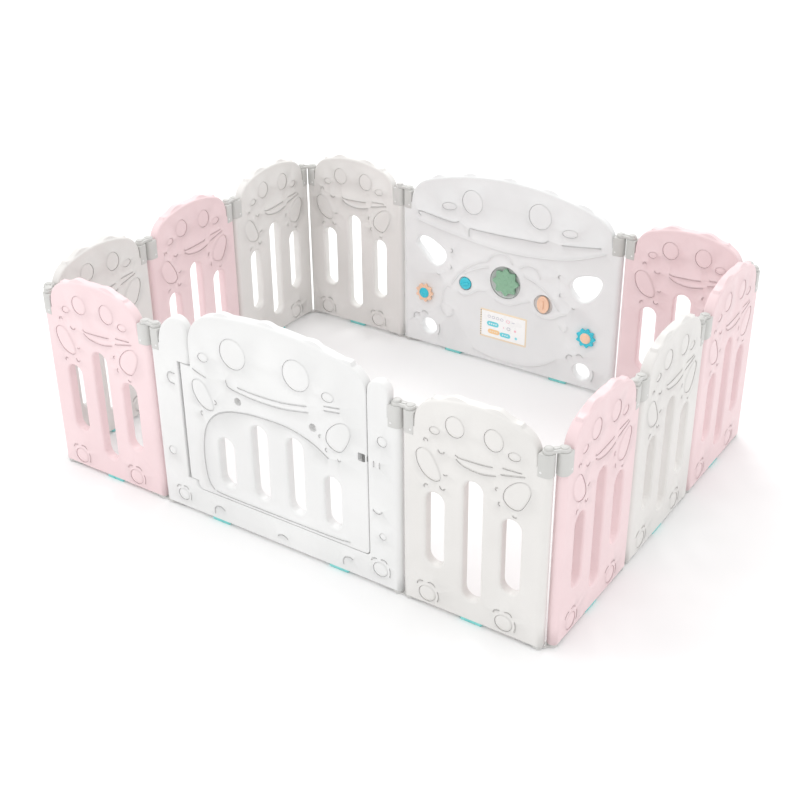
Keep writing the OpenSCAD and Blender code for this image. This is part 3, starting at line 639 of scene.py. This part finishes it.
LEFT_R, RIGHT_R = 100, 62
left_z, left_meet = crown_angles(CROWN, CROWN_R, DOOR_LEFT + LEFT_R, LEFT_R)
door_z, door_meet = crown_angles(CROWN, CROWN_R, DOOR_RIGHT - RIGHT_R, RIGHT_R)
BARREL_X = PIVOT_X - HALF_DEPTH
DOOR_SOFT, STEP_SOFT = 11.0, 16.0
door_outline = [
    *arc(DOOR_RIGHT - DOOR_SOFT, DOOR_LOW + DOOR_SOFT, DOOR_SOFT, -90, 0, 3, EDGE),
    *side(DOOR_RIGHT, DOOR_LOW + DOOR_SOFT, door_z, 1, EDGE, 24),
    *arc(DOOR_RIGHT - RIGHT_R, door_z, RIGHT_R, 0, door_meet, 4, EDGE, HEAD_EDGE)[:-1],
    *arc(0, CROWN - CROWN_R, CROWN_R, door_meet, left_meet, lobes=(-140, 0, 140, 248)),
    *arc(DOOR_LEFT + LEFT_R, left_z, LEFT_R, left_meet, 180, 4, HEAD_EDGE, EDGE)[1:],
    *side(DOOR_LEFT, left_z, STEP_HIGH - DOOR_GAP, -1, EDGE, 4),
    *corner(DOOR_LEFT, STEP_HIGH - DOOR_GAP, -1, 1),
    *corner(BARREL_X, STEP_HIGH - DOOR_GAP, -1, 1, HALF_DEPTH, EDGE),
    *side(BARREL_X, STEP_HIGH - DOOR_GAP, STEP_LOW + DOOR_GAP, -1, HALF_DEPTH, 16),
    *corner(BARREL_X, STEP_LOW + DOOR_GAP, -1, -1, HALF_DEPTH, EDGE),
    *corner(DOOR_STEP, STEP_LOW + DOOR_GAP, -1, -1),
    *arc(DOOR_STEP + STEP_SOFT, DOOR_LOW + STEP_SOFT, STEP_SOFT, 180, 270, 3, EDGE),
    *level(DOOR_LOW, DOOR_STEP + STEP_SOFT, DOOR_RIGHT - DOOR_SOFT, -1),
]
DOOR_SLOT_PITCH, DOOR_SLOT_LOW = 113, 127
door_slots = [slot_rim(DOOR_MIDDLE + step * DOOR_SLOT_PITCH, DOOR_SLOT_LOW, top)
              for step, top in ((-1.5, 276), (-0.5, 348), (0.5, 348), (1.5, 276))]
peep_holes = [arc(DOOR_MIDDLE + way * 117, 401, 11, 0, 354, 2.4, 1.6, out=-1) for way in (-1, 1)]
LATCH_X, LATCH_Z = 278, 366
window = [(LATCH_X + dx, LATCH_Z + dz) for dx, dz in
          ((-10.2, -9), (-8.4, -11), (8.4, -11), (10.2, -9),
           (10.2, 9), (8.4, 11), (-8.4, 11), (-10.2, 9))]
door_marks = [
    (oval(-106, 533, 41, 42, 8), DISH),
    (oval(90, 531, 41, 42, 8), DISH),
    (oval(-205, 497, 17, 13, 8), DISH),
    (oval(183, 500, 18, 13, 8), DISH),
    (stroke([(-242, 455), (-222, 447), (-200, 441)], 3.2), GROOVE),
    (stroke([(-134, 452), (-129, 438), (-108, 431), (-40, 424), (42, 426), (122, 440)], 3.5),
     GROOVE),
    (stroke([(-96, 443), (-40, 440), (42, 443), (118, 456)], 3.5), GROOVE),
    (stroke([(172, 473), (217, 480)], 3.2), GROOVE),
    (stroke([(172, 461), (217, 468)], 3.2), GROOVE),
    (spread(LEAF, -218, 388, 0.95), PILLOW),
    (spread(EGG, 210, 400, 0.98), PILLOW),
    (bow(-178, 376, 6, 280, 440), GROOVE),
    (bow(-222, 331, 6, 100, 250), GROOVE),
    (bow(158, 384, 5, 100, 220), GROOVE),
    (bow(176, 352, 5, 120, 250), GROOVE),
    (bow(212, 337, 5, 200, 320), GROOVE),
    (stroke([(-205, 104), (-221, 130), (-228, 180), (-226, 240), (-212, 295), (-183, 335),
             (-140, 360), (-80, 374), (-18, 379), (60, 377), (130, 358), (178, 330)], 3.5, 8),
     GROOVE),
    (stroke([(-196, 101), (-140, 98), (0, 98), (180, 99), (236, 104)], 3.5, 8), GROOVE),
]
door_holes = [*door_slots, *peep_holes]
gate_door = moulding(door_outline, door_holes, door_marks, "mirror", [(window, WINDOW)])
place(gate_door, "moulded_gate_door", "door", [WHITE], GATE, ["gate_door"], "white_plastic")
gate_door.free()


# ---------------------------------------------------------------- activity board

# The board is drawn as seen from inside the pen, which is its local front
UPPER_LEFT = [(-345, 366), (-337, 385), (-318, 398), (-287, 396), (-256, 382), (-230, 366),
              (-216, 348), (-219, 322), (-238, 300), (-260, 294), (-290, 309), (-326, 346)]
UPPER_RIGHT = [(213, 338), (225, 366), (248, 384), (286, 396), (318, 398), (335, 386),
               (334, 362), (316, 326), (284, 298), (254, 294), (228, 312)]


def shrink(points, x, z, share):
    """An outline drawn in towards a point"""
    return [(x + (px - x) * share, z + (pz - z) * share) for px, pz in points]


board_holes = [
    free_rim(smooth(shrink(UPPER_LEFT, -278, 348, 0.86), True, 4)[::-1], 7.5),
    free_rim(smooth(shrink(UPPER_RIGHT, 277, 346, 0.86), True, 4)[::-1], 7.5),
    free_rim(oval(-287, 74, 29, 28, 0, 36)[::-1], 6.0),
    free_rim(oval(278, 62, 29, 28, 0, 36)[::-1], 6.0),
]
for rims in board_holes:
    middle_x = sum(r.x for r in rims) / len(rims)
    middle_z = sum(r.z for r in rims) / len(rims)
    first = rims[0]
    inwards = (middle_x - first.x) * first.out_x + (middle_z - first.z) * first.out_z
    flip = -1 if inwards < 0 else 1
    rims[:] = [r._replace(out_x=r.out_x * flip, out_z=r.out_z * flip) for r in rims]

board_marks = [
    (oval(-127, 543, 37, 40, 6), DISH),
    (oval(111, 545, 39, 41, 6), DISH),
    (oval(-211, 514, 27, 13, 8), DISH),
    (oval(214, 512, 26, 13, 8), DISH),
    (stroke([(-318, 462), (-326, 470), (-316, 476), (-250, 468), (-197, 463), (-176, 470)], 3.5),
     GROOVE),
    (stroke([(-137, 429), (-135, 454), (-110, 455), (-27, 456), (60, 460), (122, 463),
             (142, 474)], 3.5), GROOVE),
    (stroke([(190, 470), (250, 478), (318, 488)], 3.5), GROOVE),
    (stroke([(-330, 446), (-249, 430), (-173, 420), (-99, 411), (-25, 405), (47, 406),
             (118, 412), (188, 422), (255, 440), (334, 472)], 7.2, 6), RAISED),
    (stroke([(-199, 250), (-171, 292), (-134, 326), (-97, 347), (-71, 357), (-56, 376),
             (-35, 391), (-12, 395), (10, 386), (20, 370)], 6.6, 6), RAISED),
    (stroke([(-150, 298), (-126, 314), (-86, 333), (-66, 339)], 7.7, 6), RAISED),
    (stroke([(50, 362), (74, 376), (98, 375), (114, 362), (121, 344)], 6.4, 5), RAISED),
    (stroke([(66, 338), (108, 324), (146, 302), (172, 276), (190, 252)], 6.4, 5), RAISED),
    (stroke([(-236, 176), (-232, 208), (-224, 230), (-214, 240), (-206, 238)], 7.2), RAISED),
    (stroke([(-176, 226), (-154, 219), (-131, 228), (-100, 250), (-76, 254)], 6.6), RAISED),
    (stroke([(-36, 232), (-10, 226), (18, 227), (56, 244), (84, 256)], 6.6), RAISED),
    (stroke([(112, 222), (128, 215), (152, 214), (178, 222), (195, 235), (214, 243)], 7.7),
     RAISED),
    (stroke([(-240, 166), (-234, 146), (-216, 130), (-198, 137), (-191, 158)], 6.4), RAISED),
    (stroke([(196, 196), (214, 186), (222, 202)], 6.4), RAISED),
    (stroke([(-110, 38), (-24, 24), (68, 26), (138, 46), (190, 80)], 7.2, 6), RAISED),
    (bow(-203, 365, 6, 280, 440), GROOVE),
    (bow(-206, 306, 6, 280, 420), GROOVE),
    (bow(-250, 276, 6, 220, 320), GROOVE),
    (bow(190, 366, 6, 100, 230), GROOVE),
    (bow(196, 306, 6, 120, 250), GROOVE),
    (bow(240, 276, 6, 220, 320), GROOVE),
    (bow(-330, 98, 16, 70, 200), GROOVE),
    (bow(-303, 113, 13, 30, 140), GROOVE),
    (bow(238, 98, 13, 60, 190), GROOVE),
    (bow(270, 108, 13, 30, 140), GROOVE),
    (bow(278, 62, 44, -30, 20), GROOVE),
    (bow(-287, 74, 44, -30, 20), GROOVE),
]
GREEN_AT, ROUND_AT, OVAL_AT = (-2, 300), (-148, 263), (135, 259)
KNOB_SEAT = ((0.5, 0.0), (0.6, -0.6), (0.2, -3.4))
toy_recesses = [
    (oval(*GREEN_AT, 54.5, 54.5, 0, 48), ((0.6, 0.0), (1.9, -1.9), (0.2, -7.1))),
    (oval(*ROUND_AT, 23.5, 23.5, 0, 36), KNOB_SEAT),
    (oval(*OVAL_AT, 32.4, 32.4, 0, 40), KNOB_SEAT),
]
board_outline = full_panel(WIDE_SPAN, WIDE_HALF, CROWN, CROWN_R, WIDE_R, (-256, -140, 0, 140, 256))
board = moulding(board_outline, board_holes, board_marks, "mirror", toy_recesses)
place(board, "moulded_activity_board", "board", [BOARD_SKIN], PLAY_SIDE, ["activity_board"],
      "white_plastic")
board.free()


# ---------------------------------------------------------------- hinges, links, pads

def prism(points, low, high, bevel=0.0, segments=3):
    """A block with a drawn plan: its face extruded upwards, all its edges rounded"""
    bm = bmesh.new()
    face = bm.faces.new([bm.verts.new((x, y, low)) for x, y in points])
    swept = bmesh.ops.extrude_face_region(bm, geom=[face])["geom"]
    upper = [g for g in swept if isinstance(g, bmesh.types.BMVert)]
    bmesh.ops.translate(bm, verts=upper, vec=(0, 0, high - low))
    bmesh.ops.recalc_face_normals(bm, faces=bm.faces)
    if bevel:
        rims = [e for e in bm.edges if len(e.link_faces) == 2 and e.calc_face_angle(0) > 1.0]
        bmesh.ops.bevel(bm, geom=rims, offset=bevel, offset_type="OFFSET", segments=segments,
                        profile=0.5, affect="EDGES", material=-1, clamp_overlap=True)
    return bm


def block(left, right, front, back, low, high, bevel, segments=3):
    """A square block between its sides"""
    plan = [(left, front), (right, front), (right, back), (left, back)]
    return prism(plan, low, high, bevel, segments)


def cut_corners(half_x, half_y, cut_x, cut_y, x=0):
    """Plan of a block with its corners cut off"""
    in_x, in_y = half_x - cut_x, half_y - cut_y
    return [(x - half_x, -in_y), (x - in_x, -half_y), (x + in_x, -half_y), (x + half_x, -in_y),
            (x + half_x, in_y), (x + in_x, half_y), (x - in_x, half_y), (x - half_x, in_y)]


def join(target, source, matrix=None, material=0):
    """Adds a bmesh to another, moved, and frees it; without a material it keeps its own"""
    mesh = bpy.data.meshes.new("part")
    source.to_mesh(mesh)
    if matrix:
        mesh.transform(matrix)
    before = len(target.faces)
    target.from_mesh(mesh)
    target.faces.ensure_lookup_table()
    if material is not None:
        for face in target.faces[before:]:
            face.material_index = material
    bpy.data.meshes.remove(mesh)
    source.free()


def turned(profile, steps=32):
    """A turned shape: a profile of (radius, height) spun about the upright axis"""
    bm = bmesh.new()
    verts = [bm.verts.new((r, 0, z)) for r, z in profile]
    edges = [bm.edges.new(pair) for pair in zip(verts, verts[1:])]
    bmesh.ops.spin(bm, geom=verts + edges, cent=(0, 0, 0), axis=(0, 0, 1), angle=2 * math.pi,
                   steps=steps, use_merge=True)
    bmesh.ops.remove_doubles(bm, verts=bm.verts, dist=0.001)
    bmesh.ops.recalc_face_normals(bm, faces=bm.faces)
    return bm


def round_end(radius, start, end, x=0.0, steps=12):
    """Part of a circle in a plan, from start to end in degrees"""
    turns = [math.radians(start + (end - start) * i / steps) for i in range(steps + 1)]
    return [(x + radius * math.cos(t), radius * math.sin(t)) for t in turns]


SCREW_X, SCREW_Z = 9, 488
BRACKET_R = 16.2
BRACKET_SKIRT = 24
COLLAR_R = 12.4
FOOT_R = 13.5


def bracket_end():
    """One end's bracket: a cap over the shoulder with its skirt, the floor plate and screws"""
    bm = bmesh.new()
    cap_end = [(BRACKET_REACH, -BRACKET_R), (BRACKET_REACH, BRACKET_R)]
    cap_plan = round_end(BRACKET_R, 90, 270) + cap_end
    join(bm, prism(cap_plan, SHOULDER - BRACKET_SKIRT, HINGE_TOP, 1.4))
    collar_end = BRACKET_REACH - 3
    collar = round_end(COLLAR_R, 90, 270) + [(collar_end, -COLLAR_R), (collar_end, COLLAR_R)]
    join(bm, prism(collar, HINGE_TOP - 1, HINGE_TOP + 0.25, 0.3, 2))
    plate = round_end(FOOT_R, 90, 270) + [(6, -FOOT_R), (9, -10.5), (38, -10.5), (40, -8.5),
                                          (40, 8.5), (38, 10.5), (9, 10.5), (6, FOOT_R)]
    join(bm, prism(plate, 5.0, FLOOR_GAP + 0.6, 0.9))
    head = [(0, 0.8), (1.2, 0.76), (2.2, 0.55), (2.8, 0.2), (3.0, -0.3), (3.0, -1.4)]
    for way in (-1, 1):
        outwards = Matrix.Rotation(-way * math.pi / 2, 4, "X")
        spot = Matrix.Translation((SCREW_X, way * BRACKET_R, SCREW_Z))
        join(bm, turned(head, 20), spot @ outwards, 1)
    return bm


def bracket_pair(key, body, spot, span):
    """The brackets of a panel's two ends"""
    bm = bmesh.new()
    for way, half_turn in ((-1, 0), (1, math.pi)):
        turn = Matrix.Rotation(half_turn, 4, "Z")
        join(bm, bracket_end(), Matrix.Translation((way * span / 2, 0, 0)) @ turn, None)
    finish_hard(bm, "brackets_fitted_" + key, body, [GREY, WHITE], spot, ["brackets_" + key],
                "grey_plastic")


def finish_hard(bm, name, body, mats, spot, nodes, slot, angle=35):
    """Places a piece whose sharp edges stay crisp"""
    for edge in bm.edges:
        edge.smooth = len(edge.link_faces) != 2 or edge.calc_face_angle(0) < math.radians(angle)
    place(bm, name, body, mats, spot, nodes, slot)
    bm.free()


LINK_LOW, LINK_HIGH = HINGE_TOP + 0.3, HINGE_TOP + 8.3
FOOT_LINK_LOW, FOOT_LINK_HIGH = 0.9, 4.7
# Turned profiles as (radius, height over the upper bar): the raised cap and the flat disc
TALL_CAP = [(0, 6.0), (5.6, 6.0), (6.6, 5.6), (8.6, 5.3), (9.6, 4.6), (10, 3.3), (10, -0.5)]
FLAT_CAP = [(0, 3.1), (4.2, 3.1), (4.9, 2.6), (8.2, 2.6), (9.2, 2.0), (9.6, 1.1), (9.6, -0.5)]
# And of the two pins: the upper one under the upper bar, the lower one over the floor
UPPER_PIN = [(0, 514.3), (3.2, 514.3), (4, 515.1), (4, 536)]
LOWER_PIN = [(0, 22.7), (3.2, 22.7), (4, 21.9), (4, 3)]


def link_piece(key, x, y, turn, far_pin):
    """A hinge link: two rounded bars, with a raised cap and a flat disc over its pins"""
    bm = bmesh.new()
    half = LINK / 2
    plan = round_end(FOOT_R, 45, 315, -half) + round_end(FOOT_R, -135, 135, half)
    join(bm, prism(plan, LINK_LOW, LINK_HIGH, 1.2))
    join(bm, prism(plan, FOOT_LINK_LOW, FOOT_LINK_HIGH, 0.8))
    for way, cap in ((-1, TALL_CAP), (1, FLAT_CAP)):
        join(bm, turned(cap, 32), Matrix.Translation((way * half, 0, LINK_HIGH)))
    join(bm, block(-7, 7, -3.5, 3.5, LINK_HIGH - 0.5, LINK_HIGH + 1.7, 0.8, 2))
    for way in (-1, 1) if far_pin else (-1,):
        for pin in (UPPER_PIN, LOWER_PIN):
            join(bm, turned(pin, 24), Matrix.Translation((way * half, 0, 0)), 1)
    finish_hard(bm, "link_fitted_" + key, "link_" + key, [GREY, STEEL], (x, y, turn),
                ["link_" + key], "grey_plastic")


PAD_HALF_X, PAD_HALF_Y, PAD_CUT = 30, 12, 3
RIB_COUNT, RIB_PITCH, RIB_HALF, RIB_REACH = 9, 6.5, 1.5, 11


def foot_pads(key, body, spot, places):
    """Non-slip pads: rounded blocks with ribs along their sole"""
    bm = bmesh.new()
    for x in places:
        plan = cut_corners(PAD_HALF_X, PAD_HALF_Y, PAD_CUT, PAD_CUT, x)
        join(bm, prism(plan, 1.2, FLOOR_GAP + 0.5, 0.8, 2))
        for i in range(RIB_COUNT):
            rib = x + RIB_PITCH * (i - (RIB_COUNT - 1) / 2)
            join(bm, block(rib - RIB_HALF, rib + RIB_HALF, -RIB_REACH, RIB_REACH, 0.0, 2.0, 0.6, 2))
    finish_hard(bm, "pads_fitted_" + key, body, [TEAL], spot, ["pads_" + key], "teal_rubber")


for key, spot in NARROW.items():
    bracket_pair(key, key, spot, NARROW_SPAN)
    foot_pads(key, key, spot, [0])
for key, spot in (("gate", GATE), ("board", BOARD)):
    bracket_pair(key, key, spot, WIDE_SPAN)
    foot_pads(key, key, spot, [-PITCH / 2, PITCH / 2])
for key, (x, y, turn, far_pin) in LINKS.items():
    link_piece(key, x, y, turn, far_pin)


# ---------------------------------------------------------------- latch and door pins

bm = bmesh.new()
join(bm, block(278.4, 287.4, -15, -4, LATCH_Z - 10.2, LATCH_Z + 10.2, 0.9))
for grip in (281, 285):
    join(bm, block(grip - 0.9, grip + 0.9, -16.4, -14, LATCH_Z - 7, LATCH_Z + 7, 0.5, 2))
join(bm, block(286, 303.8, -14.4, -3.6, LATCH_Z - 6.8, LATCH_Z + 6.8, 0.6, 2))
finish_hard(bm, "latch_slider", "latch", [LATCH_GREY], GATE, ["door_latch"], "grey_plastic")

bm = bmesh.new()
for low in (96, 446):
    pin = [(0, low), (3.4, low), (4, low + 0.6), (4, low + 27.4), (3.4, low + 28), (0, low + 28)]
    join(bm, turned(pin, 24), Matrix.Translation((PIVOT_X, 0, 0)))
finish_hard(bm, "door_pivot_pins", "gate", [STEEL], GATE, ["door_pins"], "pin_steel")


# ---------------------------------------------------------------- turning toys

# A toy is modelled lying down, its face upwards, then stood on the board's face
def on_board(at):
    stand = Matrix.Rotation(math.pi / 2, 4, "X")
    return Matrix.Translation((at[0], -HALF_DEPTH, at[1])) @ stand


def sunk_top(shape, rim, depth):
    """Sinks a piece's top face, and leaves a rim round it"""
    top = [max(shape.faces, key=lambda f: f.calc_center_median().z)]
    bmesh.ops.inset_individual(shape, faces=top, thickness=rim, depth=0, use_even_offset=True)
    bmesh.ops.inset_individual(shape, faces=top, thickness=depth, depth=-depth,
                               use_even_offset=True)


def toothed(radius, tooth, teeth, valley, count=9):
    """Plan of a gear with rounded teeth and soft valleys"""
    points = []
    for i in range(teeth * count):
        turn = 2 * math.pi * i / (teeth * count)
        wave = 0.5 + 0.5 * math.cos(teeth * turn)
        r = radius - tooth * (1 - wave ** valley)
        points.append((r * math.cos(turn), r * math.sin(turn)))
    return points


def toy(name, body, parts, mats, at, nodes, slot):
    bm = bmesh.new()
    for shape, index in parts:
        join(bm, shape, on_board(at), index)
    finish_hard(bm, name, body, mats, PLAY_SIDE, nodes, slot, 40)


AXLE = [(0, -13), (3.5, -13), (4, -12.4), (4, 0), (0, 0)]
green_body = prism(toothed(46.6, 10, 8, 1.3), -8.4, 0.3, 1.2)
sunk_top(green_body, 3.0, 1.0)
green_hub = turned([(0, 1.4), (5, 1.3), (7.5, 0.9), (9, 0), (9.5, -1.5)], 28)
green_parts = [(green_body, 0), (green_hub, 0)]
for i in range(8):
    turn = math.radians(45 * i + 22.5)
    dot = turned([(0, 0.4), (2.4, 0.2), (3.4, -0.3), (3.8, -1.2)], 16)
    bmesh.ops.translate(dot, verts=dot.verts, vec=(22 * math.cos(turn), 22 * math.sin(turn), 0))
    green_parts.append((dot, 0))
green_parts.append((turned(AXLE, 20), 0))
toy("green_gear_wheel", "green_gear", green_parts, [GREEN], GREEN_AT, ["green_gear"],
    "green_plastic")

knob_disc = [(0, 4.0), (14, 4.0), (17, 3.7), (19, 2.8), (19.8, 1.2), (20, -3.4), (0, -3.4)]
knob_grip = prism(cut_corners(16, 4, 2, 1), 3.6, 9.0, 1.4)
bmesh.ops.rotate(knob_grip, verts=knob_grip.verts, cent=(0, 0, 0),
                 matrix=Matrix.Rotation(math.radians(20), 3, "Z"))
knob_parts = [(turned(knob_disc, 40), 0), (knob_grip, 0), (turned(AXLE, 20), 0)]
toy("round_turning_knob", "round_knob", knob_parts, [CYAN], ROUND_AT, ["round_knob"],
    "cyan_plastic")

oval_body = prism(oval(0, 0, 20.4, 28.5, 0, 40), -3.4, 4.0, 1.6)
sunk_top(oval_body, 2.4, 0.8)
oval_grip = prism(cut_corners(3, 14.5, 1, 2), 3.0, 7.0, 1.2)
oval_parts = [(oval_body, 0), (oval_grip, 0), (turned(AXLE, 20), 0)]
toy("oval_turning_knob", "oval_knob", oval_parts, [PEACH], OVAL_AT, ["oval_knob"],
    "peach_plastic")

for key, at, wheel, cap in (("left", (-301, 195), PEACH, CYAN), ("right", (290, 186), CYAN, PEACH)):
    plate = prism(toothed(32.6, 7.5, 9, 0.9), 0.5, 8.5, 1.2)
    sunk_top(plate, 2.0, 0.8)
    dome = [(0, 13.4), (6, 13.2), (11, 12.6), (15, 11.4), (17.2, 9.8), (17.8, 8.4), (17.8, 7.0)]
    flower_parts = [(plate, 0), (turned(dome, 40), 1), (turned(AXLE, 20), 0)]
    toy("flower_wheel_" + key, "flower_" + key, flower_parts, [wheel, cap], at,
        ["flower_gear_" + key, "flower_cap_" + key],
        "peach_plastic" if key == "left" else "cyan_plastic")


# ---------------------------------------------------------------- picture card

def bar(x, z, half_x, half_z, low=0.3, high=0.55):
    """A flat printed bar with round ends"""
    r = min(half_x, half_z)
    plan = [(x + half_x - r + px, z + py) for px, py in round_end(r, -90, 90, steps=6)]
    plan += [(x - half_x + r + px, z + py) for px, py in round_end(r, 90, 270, steps=6)]
    return prism(plan, low, high)


# The card's finishes, in the order of its materials
PAPER, BORDER, GREY_INK, PINK_INK, CYAN_INK, ORANGE_INK, EYELET = range(7)
# Bars as (x, z, half length, half height, ink)
PRINTED = [
    (17, 24, 7.0, 5.0, PINK_INK), (36, 24, 6.0, 1.0, GREY_INK),
    (-38, 2, 22, 8.5, CYAN_INK), (2, -1, 2.2, 5.0, PINK_INK), (20, -1, 7.0, 6.0, GREY_INK),
    (44, -3, 4.0, 4.0, PINK_INK),
    (-34, -25, 22, 8.0, ORANGE_INK), (8, -27, 20, 8.0, CYAN_INK), (48, -28, 4.6, 4.6, CYAN_INK),
    *((-52 + 15.5 * i, 27 - 0.6 * i, 6.0, 4.8, GREY_INK) for i in range(4)),
]
# Smaller bars on top of them
OVERPRINTED = [
    (17, 24, 5.0, 3.0, PAPER), (20, -1, 4.6, 3.6, PAPER),
    *((-52 + 15.5 * i, 27 - 0.6 * i, 4.2, 3.0, PAPER) for i in range(4)),
    *((x, 2, 2.4, 3.4, PAPER) for x in (-50, -42, -34, -26)),
    *((x, -25, 2.4, 3.2, BORDER) for x in (-46, -38, -30, -22)),
    *((x, -27, 2.2, 3.0, PAPER) for x in (0, 8, 16)),
]
card_parts = [
    (prism(cut_corners(85, 50, 2, 2), -1.4, 0.2, 0.3, 2), BORDER),
    (block(-80, 80, -44, 44, 0.1, 0.4, 0.1, 1), PAPER),
    *((bar(*shape), ink) for *shape, ink in PRINTED),
    *((bar(*shape, 0.5, 0.6), ink) for *shape, ink in OVERPRINTED),
    *((bar(-82.4, 42 - 8.4 * i, 2.0, 1.4, 0.1, 0.58), EYELET) for i in range(11)),
]
bm = bmesh.new()
for shape, index in card_parts:
    join(bm, shape, on_board((-4, 143)), index)
finish_hard(bm, "activity_card", "board",
            [CARD, CREAM, INK_GREY, INK_PINK, INK_CYAN, INK_ORANGE, DARK], PLAY_SIDE,
            ["picture_card"], "card_print")


# ---------------------------------------------------------------- floor, light and camera

bm = bmesh.new()
bmesh.ops.create_grid(bm, x_segments=4, y_segments=4, size=14.0)
floor_mesh = bpy.data.meshes.new("studio_floor")
bm.to_mesh(floor_mesh)
bm.free()
floor_mat, tree, shader, spot_on_floor = nodes_of("studio_floor_white")
floor_cloud = noise(tree, spot_on_floor, 0.8, 2.0)
floor_tone = ramp(tree, floor_cloud, (0.90, 0.90, 0.90), (0.92, 0.92, 0.92))
tree.links.new(floor_tone, shader.inputs["Base Color"])
shader.inputs["Roughness"].default_value = 0.9
shader.inputs["Specular IOR Level"].default_value = 0.1
floor_mesh.materials.append(floor_mat)
floor = bpy.data.objects.new("studio_floor", floor_mesh)
bpy.context.scene.collection.objects.link(floor)

world = bpy.data.worlds.new("studio_white")
world.use_nodes = True
world.node_tree.nodes["Background"].inputs["Color"].default_value = (1, 1, 1, 1)
world.node_tree.nodes["Background"].inputs["Strength"].default_value = 1.15
bpy.context.scene.world = world


def soft_light(name, spot, aim, size, power):
    data = bpy.data.lights.new(name, "AREA")
    data.shape = "DISK"
    data.size = size
    data.energy = power
    lamp = bpy.data.objects.new(name, data)
    lamp.location = spot
    lamp.rotation_mode = "QUATERNION"
    lamp.rotation_quaternion = (Vector(aim) - Vector(spot)).to_track_quat("-Z", "Y")
    bpy.context.scene.collection.objects.link(lamp)


soft_light("front_softbox", (-2.6, -2.2, 3.4), (0, 0, 0.2), 1.8, 24)
soft_light("back_softbox", (-1.2, 2.4, 3.6), (0, -0.2, 0.2), 2.0, 46)

camera_data = bpy.data.cameras.new("studio_camera")
camera_data.sensor_width = 36
camera_data.lens = 59.0
camera_data.clip_end = 60
camera = bpy.data.objects.new("studio_camera", camera_data)
camera.rotation_mode = "QUATERNION"
bpy.context.scene.collection.objects.link(camera)
CAMERA_AT = Vector((1.831, -2.753, 2.013))
azimuth, elevation, roll = math.radians(33.89), math.radians(29.40), math.radians(0.53)
flat = math.cos(elevation)
look = Vector((-math.sin(azimuth) * flat, math.cos(azimuth) * flat, -math.sin(elevation)))
tilt = Matrix.Rotation(-roll, 3, "Z").to_quaternion()
camera.location = CAMERA_AT
camera.rotation_quaternion = look.to_track_quat("-Z", "Y") @ tilt
bpy.context.scene.camera = camera
bpy.context.scene.view_settings.view_transform = "Standard"
